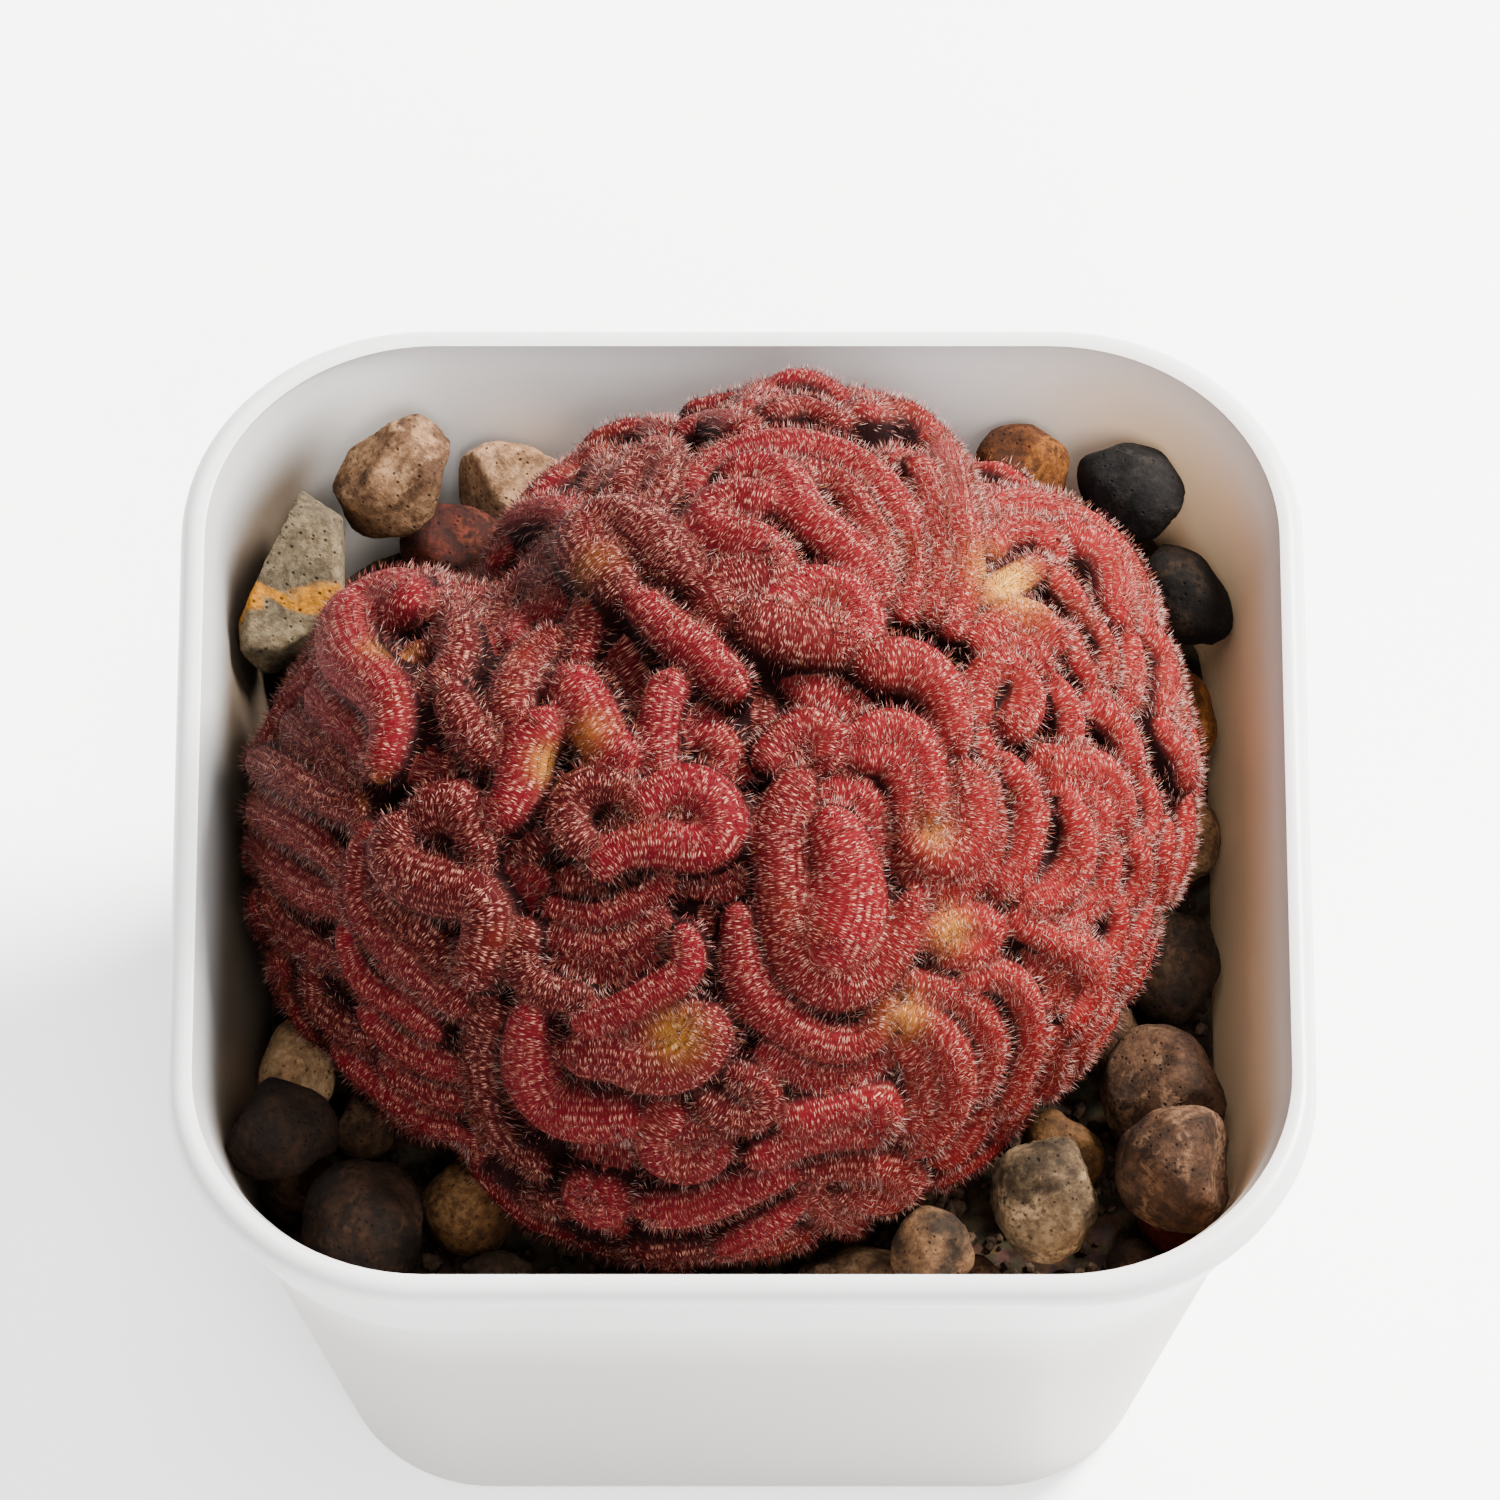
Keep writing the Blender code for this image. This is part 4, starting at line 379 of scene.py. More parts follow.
def mineral_group():
    """Shared look of a pebble: two clouded tones, veins, dark specks and pits."""
    group = bpy.data.node_groups.new("mineral", "ShaderNodeTree")
    for name, kind in (("Light", "NodeSocketColor"), ("Dark", "NodeSocketColor"),
                       ("Vein", "NodeSocketColor"), ("Vein Share", "NodeSocketFloat"),
                       ("Offset", "NodeSocketVector"), ("Streak Place", "NodeSocketFloat")):
        group.interface.new_socket(name, in_out="INPUT", socket_type=kind)
    group.interface.new_socket("Colour", in_out="OUTPUT", socket_type="NodeSocketColor")
    group.interface.new_socket("Relief", in_out="OUTPUT", socket_type="NodeSocketFloat")
    inside = group.nodes.new("NodeGroupInput").outputs
    place = add(group, "TexCoord").outputs["Object"]
    place = add(group, "VectorMath", {0: place, 1: inside["Offset"]}).outputs[0]
    cloud = add(group, "TexNoise", {"Vector": place, "Scale": 260.0, "Detail": 6.0,
                                    "Roughness": 0.62, "Distortion": 0.4}).outputs["Fac"]
    grain = add(group, "TexNoise", {"Vector": place, "Scale": 1500.0, "Detail": 4.0,
                                    "Roughness": 0.7}).outputs["Fac"]
    band = add(group, "TexNoise", {"Vector": place, "Scale": 120.0, "Detail": 3.0,
                                   "Distortion": 1.6}).outputs["Fac"]
    speck = add(group, "TexVoronoi", {"Vector": place, "Scale": 1300.0}).outputs["Distance"]
    colour = mix(group, ramp(group, cloud, 0.38, 0.62), inside["Dark"], inside["Light"])
    veins = add(group, "Math", {0: ramp(group, band, 0.52, 0.60), 1: inside["Vein Share"]},
                operation="MULTIPLY").outputs[0]
    veins = add(group, "Math", {0: veins, 1: ramp(group, grain, 0.35, 0.6)},
                operation="MULTIPLY").outputs[0]
    colour = mix(group, veins, colour, inside["Vein"])
    wander = add(group, "Math", {0: band, 1: 0.004}, operation="MULTIPLY").outputs[0]
    rise = add(group, "SeparateXYZ", {"Vector": add(group, "TexCoord").outputs["Object"]})
    rise = add(group, "Math", {0: rise.outputs["Y"], 1: wander}, operation="ADD").outputs[0]
    streak = add(group, "Math", {0: rise, 1: inside["Streak Place"]},
                 operation="SUBTRACT").outputs[0]
    streak = add(group, "Math", {0: streak}, operation="ABSOLUTE").outputs[0]
    streak = add(group, "Math", {0: ramp(group, streak, 0.0009, 0.0004),
                                 1: ramp(group, cloud, 0.30, 0.42)}, operation="MULTIPLY")
    colour = mix(group, streak.outputs[0], colour, inside["Vein"])
    colour = mix(group, ramp(group, grain, 0.62, 0.40), colour, (0.55, 0.52, 0.50), "MULTIPLY")
    colour = mix(group, ramp(group, speck, 0.22, 0.10), colour, (0.4, 0.38, 0.36), "MULTIPLY")
    relief = add(group, "Math", {0: grain, 1: cloud}, operation="ADD").outputs[0]
    relief = add(group, "Math", {0: relief, 1: ramp(group, speck, 0.05, 0.25)},
                 operation="ADD").outputs[0]
    result = group.nodes.new("NodeGroupOutput")
    group.links.new(colour, result.inputs["Colour"])
    group.links.new(relief, result.inputs["Relief"])
    return group


def worn_stone(node_name, angularity, fine):
    """A pebble worn out of its CAD hull: edges rounded, faces dented and pitted."""
    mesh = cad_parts[node_name].data.copy()
    bm = bmesh.new()
    bm.from_mesh(mesh)
    bmesh.ops.remove_doubles(bm, verts=bm.verts, dist=0.00001)
    flat_edges = [edge for edge in bm.edges if len(edge.link_faces) == 2
                  and edge.calc_face_angle() < 0.05]
    bmesh.ops.dissolve_edges(bm, edges=flat_edges, use_verts=False)
    bmesh.ops.triangulate(bm, faces=bm.faces)
    centre = sum((vert.co for vert in bm.verts), Vector()) / len(bm.verts)
    shift = Vector(STONE_SHIFT.get(node_name, (0, 0, 0))) * MM
    for vert in bm.verts:
        vert.co = centre + shift + (vert.co - centre) * (STONE_SWELL[0] + STONE_SWELL[1] * angularity)
    centre += shift
    crease = bm.edges.layers.float.new("crease_edge")
    for edge in bm.edges:
        edge[crease] = max(0.0, angularity - 0.4) * min(1.0, edge.calc_face_angle(0.0) / 0.7)
    bm.to_mesh(mesh)
    bm.free()
    stone = link(node_name + "_worn", mesh)
    mesh.materials.clear()
    subdivide = stone.modifiers.new("wear", "SUBSURF")
    subdivide.levels = subdivide.render_levels = 3 if fine else 2
    apply_modifier(stone, subdivide)
    draw = random.Random(node_name)
    flats = TALL_FLATS if node_name == "stone_tall" else [
        ((draw.gauss(0, 1), draw.gauss(0, 1), draw.gauss(0, 1)), draw.uniform(0.68, 0.9))
        for _ in range(int(STONE_FLATS * angularity))]
    for way, share in flats:
        way = Vector(way).normalized()
        reach = share * max((vert.co - centre).dot(way) for vert in mesh.vertices)
        for vert in mesh.vertices:
            vert.co -= way * max(0.0, (vert.co - centre).dot(way) - reach)
    own_place = Vector((centre.y, centre.z, centre.x)) * 7
    for vert in mesh.vertices:
        away = (vert.co - centre).normalized()
        spot = vert.co + own_place
        dent = noise.noise(spot * STONE_BULGES[0]) * STONE_BULGES[1] * (1 - angularity)
        for density, depth in STONE_DENTS:
            dent += noise.noise(spot * density) * depth
        vert.co += away * dent * MM
    return stone


mineral = mineral_group()
for count, (node_name, light, dark, vein, share, angularity) in enumerate(STONE_LOOKS):
    stone = worn_stone(node_name, angularity, node_name in FINE_STONES)
    look, tree, shader = material(node_name + "_mineral")
    group = tree.nodes.new("ShaderNodeGroup")
    group.node_tree = mineral
    for name, value in (("Light", (*damp(light), 1)), ("Dark", (*damp(dark), 1)),
                        ("Vein", (*damp(vein), 1)),
                        ("Vein Share", min(1.0, share * 2.2)),
                        ("Offset", (count * 0.031, count * 0.017, 0.0)),
                        ("Streak Place", TALL_STREAK if node_name == "stone_tall" else NO_STREAK)):
        group.inputs[name].default_value = value
    tree.links.new(group.outputs["Colour"], shader.inputs["Base Color"])
    shader.inputs["Roughness"].default_value = 0.85
    shader.inputs["Specular IOR Level"].default_value = 0.12
    bump = add(tree, "Bump", {"Strength": 0.55, "Distance": 0.0003,
                              "Height": group.outputs["Relief"]})
    tree.links.new(bump.outputs["Normal"], shader.inputs["Normal"])
    stone.data.materials.append(look)
    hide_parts(node_name)
    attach(stone, "root")


# Crest: one grown body of folds crowded on a dome. The routes are those of the CAD crest, swept
# finer, melted into one skin, and marked with how far each point lies from its fold's line.
DOME_CENTRE = (-1.8, 1.6, 48.0)
DOME_RADII = (38.4, 37.5, 30.0)
DOME_UNDERSIDE = 20.0         # height of the dome below its widest place
CORE_DEPTH = 3.2              # how far the core lies below the dome that carries the folds
ROOT_RADIUS = 8.6
ROOT_LENGTH = 16.0
ROOT_MIDDLE = 27.5            # height of the middle of the root
LIFT_GAIN = 2.1
PROUD_GAIN = 1.9              # folds above the dome stand out more than on the coarse CAD crest
SUNK_GAIN = 0.9               # and those below it sink less
PROUD_SWELL = 0.25            # and are wider, per millimetre that they stand out
FOLD_STEP = 0.9
FOLD_SECTION = [(-1.0, -1.7), (-0.98, -1.2), (-0.92, -0.78), (-0.83, -0.52), (-0.72, -0.34),
                (-0.56, -0.19), (-0.38, -0.085), (-0.19, -0.025), (0.0, 0.0), (0.19, -0.025),
                (0.38, -0.085), (0.56, -0.19), (0.72, -0.34), (0.83, -0.52), (0.92, -0.78),
                (0.98, -1.2), (1.0, -1.7)]
FOLD_TIPS = [(0.98, 0.12), (0.92, 0.34), (0.76, 0.62), (0.46, 0.87), (0.2, 0.97)]
FOLD_FOOT = 0.6
FOLD_DROOP = 0.7              # how far a fold's end sinks, in half widths
FOLD_HEART = 0.6              # depth of a fold's middle line under its back, in half widths
FOLD_SWELL = 1.4              # most that a fold with room round it swells past its own width
FOLD_THINNEST = 1.0
FOLD_CROWDING = 0.92          # share of its room that a fold fills, so that creases stay open
FOLD_LEAN = 1.4               # most half width, per free distance on its tighter side
SPREAD_ROUNDS = 1             # rounds in which the folds share out the room between them
SPREAD_SHARE = 0.35           # share of the difference between its two sides that a fold moves
SKIN_VOXEL = 0.42
SKIN_TRIANGLES = 185000
FLESH_TONES = (0.026, 0.0012, 0.0015), (0.066, 0.0015, 0.0042)
# Paler flesh on the right: partly its own colour, partly painted light from the right
FLESH_RIGHT_TONE_AND_LIGHT = (0.095, 0.0035, 0.0040)
FLESH_CLOUD = (0.050, 0.004, 0.002)
FLESH_GOLD = (0.30, 0.13, 0.015)
# Near-black painted shade deep in the creases between folds
CREASE_SHADE = (0.006, 0.0008, 0.0008)
DASH_SIZE = (0.12, 0.70)      # one flat hair: along the fold, and across it, in mm
DASH_ROWS = 0.85              # distance between two rows of flat hairs
DASH_TONES = (0.13, 0.014, 0.012), (0.46, 0.21, 0.15)
DASH_GOLD = (0.55, 0.34, 0.10)
VIEW_ELEVATION = math.radians(58.33)
VIEW_AIM = (0.0, 4.59, 54.1)
VIEW_DISTANCE = 1114.0

# Edge of the dome as (angle on the view plane in degrees, factor on the radius)
LOBES = [
    (0, 1.01), (12, 1.03), (30, 1.05), (45, 1.03), (57, 0.96), (65, 0.99), (80, 1.0),
    (98, 0.93), (115, 0.89), (132, 0.79), (139, 0.83), (145, 0.90), (151, 0.95), (180, 1.0),
    (205, 1.01), (228, 0.98), (237, 0.93), (248, 1.01), (262, 1.07), (275, 1.05),
    (290, 0.99), (310, 0.96), (345, 0.97),
]

# Fold routes: (clump, half width, height of the top over the dome, [(s, t), ...]). Folds of one
# clump melt into each other with a shallow groove; two clumps keep a deep crease between them.
FOLDS = [
    # left lobe
    (0, 2.6, 0.5, [(-26.6, 11.6), (-28.8, 12.0), (-31.2, 10.8), (-31.8, 8.6), (-30.8, 6.4),
                   (-28.9, 4.9), (-27.7, 3.2), (-27.6, 0.8), (-28.0, -0.8)]),
    (1, 1.4, -1.0, [(-26.6, 14.8), (-24.0, 15.2), (-21.5, 14.8)]),
    (1, 1.5, -0.6, [(-30.0, 13.4), (-27.0, 14.0), (-24.0, 13.5), (-21.6, 13.2)]),
    (2, 2.1, 0.1, [(-23.6, 11.6), (-22.9, 9.4), (-23.2, 7.2), (-24.0, 6.0)]),
    (3, 2.3, 0.3, [(-23.2, 4.3), (-22.0, 2.3), (-20.6, 0.6)]),
    (4, 1.8, -0.2, [(-34.6, 7.2), (-36.8, 5.0), (-38.2, 2.4), (-39.0, 0.6)]),
    (5, 2.0, -0.2, [(-35.0, 4.9), (-33.4, 2.6), (-31.6, 1.0), (-30.7, -1.4)]),
    (6, 1.5, -0.3, [(-37.2, 2.4), (-35.4, 0.9), (-33.0, -0.8), (-31.4, -2.2)]),
    (7, 2.0, 0.2, [(-38.6, -0.8), (-36.1, -2.0), (-33.5, -3.4), (-30.8, -4.3)]),
    (8, 2.2, 0.0, [(-39.4, -4.6), (-36.6, -6.0), (-34.2, -7.6), (-32.4, -9.4)]),
    (9, 1.8, -0.3, [(-39.8, -8.0), (-38.0, -10.0), (-35.5, -11.4), (-32.6, -12.2)]),
    (10, 2.0, -0.3, [(-38.8, -12.0), (-38.0, -14.3), (-36.0, -16.0), (-33.6, -16.8)]),
    (11, 1.8, -0.7, [(-25.4, -1.2), (-25.9, -3.4)]),
    (11, 2.1, 0.3, [(-24.6, -4.5), (-22.7, -4.2), (-21.3, -5.8), (-20.3, -7.8)]),
    (12, 1.6, -1.3, [(-17.0, -6.4), (-18.6, -8.0)]),
    (13, 1.2, -1.3, [(-19.8, -9.4), (-17.5, -9.9), (-16.8, -11.4)]),
    # between the left lobe and the crown
    (14, 2.1, 0.2, [(-18.6, 3.0), (-18.5, 5.4), (-17.0, 7.6), (-15.0, 8.8)]),
    (15, 1.9, -0.1, [(-12.8, 11.4), (-12.9, 10.0), (-13.6, 8.2)]),
    (16, 1.6, -0.2, [(-20.8, 10.8), (-19.5, 13.0), (-17.5, 14.5), (-15.6, 14.2)]),
    (16, 1.5, -0.2, [(-18.8, 9.9), (-17.9, 11.6), (-15.8, 12.0)]),
    (17, 1.8, -0.2, [(-20.0, 16.2), (-19.1, 18.6), (-17.2, 20.2), (-15.0, 20.4), (-13.5, 19.2)]),
    (17, 1.5, -0.7, [(-18.0, 16.3), (-16.5, 17.5), (-14.5, 17.3)]),
    (18, 2.6, 0.3, [(-16.6, 1.8), (-17.7, -0.2), (-17.8, -2.6), (-18.6, -4.6)]),
    (19, 2.6, 0.4, [(-13.3, 5.0), (-12.1, 3.0), (-11.0, 0.6), (-9.6, -0.6)]),
    (20, 2.1, 0.3, [(-5.9, 4.7), (-6.5, 2.6), (-6.8, -0.4)]),
    (21, 1.7, -2.0, [(-10.2, 8.4), (-9.0, 5.9)]),
    (22, 2.0, -0.6, [(-3.4, 2.6), (-1.6, 1.2), (-0.6, -0.8)]),
    (23, 2.2, 0.3, [(-7.8, 11.3), (-5.7, 9.5), (-3.4, 7.8), (-1.4, 5.4)]),
    (24, 2.2, 0.5, [(-10.2, 12.4), (-11.6, 14.3), (-12.8, 16.3), (-11.6, 18.1), (-9.0, 18.2),
                    (-6.8, 16.6), (-5.2, 14.6)]),
    # crown and the arcs round it
    (25, 1.8, -0.3, [(-16.8, 21.6), (-14.6, 23.4), (-12.2, 24.6)]),
    (26, 1.7, -0.3, [(-11.8, 26.0), (-9.0, 27.0), (-6.2, 26.6)]),
    (27, 1.9, 0.1, [(-9.8, 21.6), (-8.4, 23.5), (-6.4, 24.0), (-5.5, 22.4), (-6.5, 20.2)]),
    (25, 1.4, -0.3, [(-12.2, 21.4), (-11.0, 23.4)]),
    (28, 1.8, -0.2, [(-4.5, 26.8), (-2.0, 27.6), (0.3, 26.9)]),
    (29, 1.3, -0.5, [(-3.6, 28.9), (-1.2, 29.4)]),
    (30, 1.9, 0.4, [(0.6, 19.9), (-1.5, 19.6), (-2.8, 18.0), (-1.2, 16.8), (1.0, 16.3), (2.2, 15.4)]),
    (30, 2.0, 0.3, [(2.0, 13.8), (0.0, 13.5), (-2.2, 12.9), (-1.8, 11.3)]),
    (31, 1.9, 0.0, [(-4.2, 21.6), (-2.8, 23.4), (-0.4, 24.6), (2.4, 25.2), (5.2, 25.2), (8.0, 24.4),
                    (10.8, 22.6), (12.8, 20.0), (14.0, 17.0), (14.4, 14.0), (13.6, 11.2)]),
    (32, 1.9, 0.2, [(-0.4, 22.6), (1.8, 22.9), (3.7, 21.5), (4.9, 19.2), (7.6, 17.0), (9.8, 14.6),
                    (10.8, 13.0)]),
    (32, 1.5, 0.0, [(5.3, 23.0), (7.8, 22.2), (9.6, 20.0), (11.2, 17.4), (12.0, 15.0)]),
    (33, 1.8, 0.2, [(9.9, 27.0), (12.5, 27.2), (15.1, 25.6), (16.8, 22.8), (17.8, 19.6), (18.2, 16.0),
                    (17.9, 12.7), (16.9, 9.9)]),
    (33, 1.4, 0.1, [(14.4, 22.9), (15.4, 20.4), (15.8, 17.4), (15.8, 14.2), (15.2, 11.0)]),
    (34, 1.9, 0.0, [(0.4, 28.0), (2.0, 29.6), (4.6, 30.4), (7.3, 29.4), (9.2, 27.9)]),
    (35, 1.5, 0.0, [(2.6, 27.8), (5.0, 28.2), (7.5, 27.1)]),
    (36, 1.2, -0.4, [(9.9, 29.5), (11.4, 29.0), (12.6, 28.0)]),
    # middle, right of the crown
    (37, 2.4, 0.5, [(1.4, 9.8), (4.2, 8.8), (6.8, 8.4)]),
    (37, 1.7, 0.3, [(2.7, 11.6), (5.4, 13.2), (8.0, 12.8), (9.8, 10.8), (9.3, 8.8)]),
    (38, 2.5, 0.4, [(11.0, 7.0), (13.4, 6.9), (15.6, 5.3), (16.7, 2.8), (17.0, 0.8)]),
    (39, 1.6, -0.6, [(5.3, 5.4), (7.3, 4.9), (9.0, 4.0)]),
    (40, 1.0, -1.4, [(2.0, 4.4), (2.1, 2.4)]),
    (41, 1.7, 0.2, [(1.8, -0.2), (3.4, 1.5), (5.8, 2.3), (7.6, 1.1), (7.2, -0.6)]),
    (41, 1.4, -0.1, [(3.9, -0.9), (5.6, 0.0)]),
    (42, 1.5, 0.3, [(9.6, 1.5), (12.0, 1.9), (14.2, 0.3), (15.2, -2.2), (15.1, -5.0)]),
    (42, 1.5, 0.2, [(9.8, -0.7), (11.8, -0.8), (12.9, -2.8), (12.9, -5.2)]),
    (43, 1.7, -0.2, [(7.5, -2.7), (9.5, -2.9), (11.0, -5.0), (11.5, -7.4)]),
    # right lobe
    (44, 1.5, -0.2, [(18.9, 23.2), (21.0, 23.2), (22.5, 22.2)]),
    (45, 1.7, -0.2, [(19.4, 19.4), (21.0, 20.6), (24.0, 20.7), (27.0, 19.8), (29.5, 18.2),
                     (31.5, 15.9), (32.8, 13.3), (33.4, 11.2)]),
    (45, 1.6, 0.0, [(19.8, 17.0), (21.5, 18.4), (24.0, 18.2), (25.2, 16.8)]),
    (45, 2.0, 0.2, [(27.0, 17.4), (29.0, 16.0), (30.3, 13.6), (30.4, 11.4)]),
    (46, 1.6, 0.1, [(19.9, 12.3), (21.6, 13.6), (23.6, 14.8)]),
    (47, 1.8, 0.0, [(25.0, 14.6), (26.6, 13.0), (27.6, 11.2)]),
    (48, 1.6, 0.2, [(18.9, 8.9), (20.8, 10.7), (23.2, 11.0), (24.9, 9.4)]),
    (48, 1.5, 0.0, [(20.6, 8.0), (22.5, 8.6), (24.2, 7.2)]),
    (49, 1.6, -0.1, [(26.3, 9.6), (27.2, 7.8), (28.4, 6.2)]),
    (50, 1.5, 0.0, [(28.7, 10.0), (29.7, 8.2), (29.6, 6.4)]),
    (51, 1.5, -0.1, [(31.6, 9.0), (31.9, 6.8), (31.4, 4.8)]),
    (52, 1.8, 0.0, [(33.0, 10.0), (34.3, 8.0), (34.8, 5.4), (34.2, 3.0)]),
    (53, 1.5, 0.2, [(18.6, 3.0), (18.8, 5.6), (20.4, 7.0), (22.3, 6.3), (23.0, 4.1), (22.0, 2.2)]),
    (54, 1.4, 0.0, [(19.0, 1.6), (20.0, -0.4)]),
    (55, 1.9, 0.0, [(25.6, 5.2), (26.8, 3.2), (26.8, 1.0)]),
    (56, 1.9, 0.0, [(29.0, 4.0), (31.0, 2.0), (31.7, -0.6)]),
    (57, 1.7, 0.1, [(34.0, 1.8), (35.2, 0.2), (35.8, -1.6)]),
    (58, 1.6, 0.1, [(24.6, -0.6), (26.6, -0.7), (28.9, -1.2), (30.4, -2.9), (30.7, -5.0)]),
    (58, 1.7, 0.0, [(25.6, -2.8), (27.6, -3.4), (28.9, -5.2), (28.9, -6.8)]),
    (59, 1.6, -0.1, [(32.8, -2.8), (33.6, -4.8), (33.2, -6.6)]),
    # right flank
    (60, 1.9, 0.1, [(21.2, -1.2), (22.8, -3.2), (23.1, -6.0), (22.3, -9.0), (20.8, -10.8)]),
    (61, 2.2, 0.3, [(26.2, -4.6), (27.0, -6.8), (26.6, -9.5), (25.0, -11.4), (22.9, -12.2)]),
    (62, 1.6, 0.0, [(29.9, -8.4), (29.6, -11.0), (28.0, -12.9), (25.6, -13.9)]),
    (63, 1.7, 0.0, [(32.2, -7.6), (32.6, -9.4), (31.8, -11.8)]),
    (64, 1.4, -0.2, [(34.6, -6.6), (34.5, -9.4), (33.9, -12.0)]),
    (65, 1.5, -0.2, [(32.9, -13.4), (31.8, -16.4), (30.8, -18.8)]),
    (66, 1.5, 0.0, [(30.7, -12.9), (30.6, -14.8), (29.8, -16.4)]),
    (67, 2.0, 0.2, [(22.2, -13.4), (24.6, -14.5), (27.0, -15.5), (28.4, -17.6), (27.9, -20.0),
                    (26.5, -21.8)]),
    (67, 1.5, -0.3, [(24.3, -16.9), (25.7, -18.0), (25.6, -20.0)]),
    (68, 1.7, 0.1, [(15.2, -14.3), (17.2, -13.3), (19.6, -13.6), (20.3, -15.2), (18.6, -16.6),
                    (16.6, -16.3)]),
    # middle, below the crown
    (69, 1.9, 0.4, [(-12.2, -7.6), (-13.8, -5.8), (-13.0, -3.7), (-11.0, -2.9), (-9.2, -3.6)]),
    (70, 1.9, 0.4, [(-8.0, -3.9), (-5.8, -2.9), (-3.4, -3.1), (-1.7, -4.7), (-1.7, -6.9),
                    (-3.6, -8.1), (-6.4, -7.7), (-9.4, -7.8), (-10.9, -9.0)]),
    (70, 1.5, 0.1, [(-9.9, -5.9), (-7.0, -5.3), (-4.4, -5.5)]),
    (71, 1.7, -0.9, [(-4.2, -10.9), (-2.0, -11.1), (0.0, -10.0)]),
    (72, 1.5, 0.0, [(12.7, -7.6), (14.0, -10.2), (16.4, -11.2), (19.0, -9.9), (20.2, -6.6),
                    (19.9, -2.6)]),
    (72, 1.7, 0.3, [(13.5, -7.2), (15.4, -8.5), (17.6, -7.6), (18.4, -5.2), (17.9, -2.8)]),
    (72, 1.4, 0.1, [(15.4, -6.0), (16.3, -4.6), (16.7, -2.6)]),
    (73, 2.0, 0.3, [(4.2, -3.2), (3.0, -5.6), (2.7, -9.0), (2.9, -12.4), (3.9, -15.8), (5.8, -18.1),
                    (8.4, -18.9), (11.0, -17.7), (12.8, -15.2), (13.8, -12.8)]),
    (73, 2.6, 0.6, [(8.0, -6.8), (8.6, -9.2), (8.3, -12.2), (7.4, -14.6)]),
    (74, 2.2, 0.1, [(-0.6, -13.4), (-0.3, -16.0), (1.0, -19.2), (3.4, -22.0), (6.4, -23.8),
                    (9.4, -23.9), (11.2, -22.4), (11.6, -20.6)]),
    (75, 1.4, -0.4, [(2.2, -24.8), (5.4, -26.4), (8.6, -26.4), (11.4, -25.2)]),
    (76, 1.4, -1.6, [(-2.6, -12.6), (-2.7, -14.6)]),
    # lower right
    (77, 1.8, 0.2, [(13.0, -21.0), (14.6, -21.4), (16.4, -23.4), (17.4, -26.0), (17.0, -28.8),
                    (15.2, -31.0)]),
    (77, 1.7, 0.0, [(12.9, -23.9), (14.4, -25.9), (14.4, -28.2), (13.4, -30.2)]),
    (78, 1.6, 0.0, [(13.8, -18.9), (16.8, -19.4), (19.3, -21.2), (20.4, -24.2), (19.6, -27.2)]),
    (79, 1.8, 0.1, [(18.4, -18.2), (20.8, -17.9), (22.8, -19.6), (23.5, -22.4), (22.8, -25.6),
                    (21.4, -28.2)]),
    (80, 1.6, -0.1, [(25.0, -23.4), (25.8, -25.2), (25.0, -27.4)]),
    (81, 1.4, -0.2, [(29.6, -20.8), (28.2, -22.8), (27.6, -25.0)]),
    (82, 1.7, -0.1, [(17.4, -33.0), (18.9, -31.4), (20.0, -29.6)]),
    (83, 1.5, -0.2, [(23.0, -29.0), (21.4, -31.4), (19.4, -33.4), (16.6, -35.0)]),
    (84, 1.7, 0.2, [(4.8, -29.2), (8.0, -28.2), (11.2, -27.6), (11.6, -29.2)]),
    (84, 1.6, 0.1, [(1.9, -32.8), (4.5, -31.7), (7.5, -30.9), (10.6, -30.9)]),
    (85, 1.6, 0.1, [(-2.4, -29.0), (-0.2, -29.8), (1.8, -29.0), (2.0, -27.0), (0.4, -26.0)]),
    (86, 1.7, 0.1, [(6.0, -33.9), (8.6, -33.4), (11.5, -33.6), (13.4, -34.9), (12.0, -36.4),
                    (9.0, -36.2)]),
    (87, 1.7, -0.2, [(5.6, -35.8), (7.0, -37.6), (9.0, -38.8)]),
    (88, 1.8, 0.0, [(3.6, -34.2), (1.4, -35.1), (-1.5, -36.4), (-4.2, -37.4), (-6.6, -37.5)]),
    (89, 1.7, -0.1, [(4.2, -37.2), (2.0, -39.0), (-1.0, -40.4)]),
    # lower left
    (90, 1.7, 0.1, [(-30.3, -7.4), (-31.2, -9.8), (-31.0, -12.4), (-29.6, -14.5), (-27.4, -16.5),
                    (-25.0, -18.7), (-23.3, -20.1)]),
    (90, 1.5, 0.0, [(-29.0, -11.6), (-27.9, -13.5), (-25.8, -15.1), (-24.2, -17.2)]),
    (91, 2.4, 0.5, [(-27.6, -6.8), (-28.2, -8.6), (-26.4, -10.3), (-23.6, -10.9), (-20.8, -10.9),
                    (-19.4, -12.6), (-19.6, -15.0), (-20.6, -17.2)]),
    (92, 1.8, -0.1, [(-32.2, -14.9), (-31.7, -17.3), (-30.0, -19.3), (-27.5, -20.7), (-25.4, -22.4)]),
    (90, 1.5, -0.5, [(-29.3, -16.7), (-27.6, -18.6), (-25.9, -20.0)]),
    (93, 1.7, -0.3, [(-35.4, -17.6), (-35.2, -20.4), (-33.4, -22.6), (-31.4, -23.6)]),
    (94, 1.8, -0.1, [(-30.2, -21.6), (-28.4, -23.6), (-25.5, -25.0), (-22.8, -25.8)]),
    (95, 2.1, -0.2, [(-32.4, -25.0), (-30.6, -26.8), (-28.4, -28.6), (-26.0, -30.2), (-23.8, -31.0)]),
    (94, 1.5, -0.1, [(-28.4, -26.2), (-25.8, -27.8), (-23.2, -28.4)]),
    (96, 1.5, 0.0, [(-20.6, -21.2), (-21.5, -24.0), (-21.4, -27.0), (-20.8, -29.8), (-19.2, -32.0),
                    (-17.2, -33.4)]),
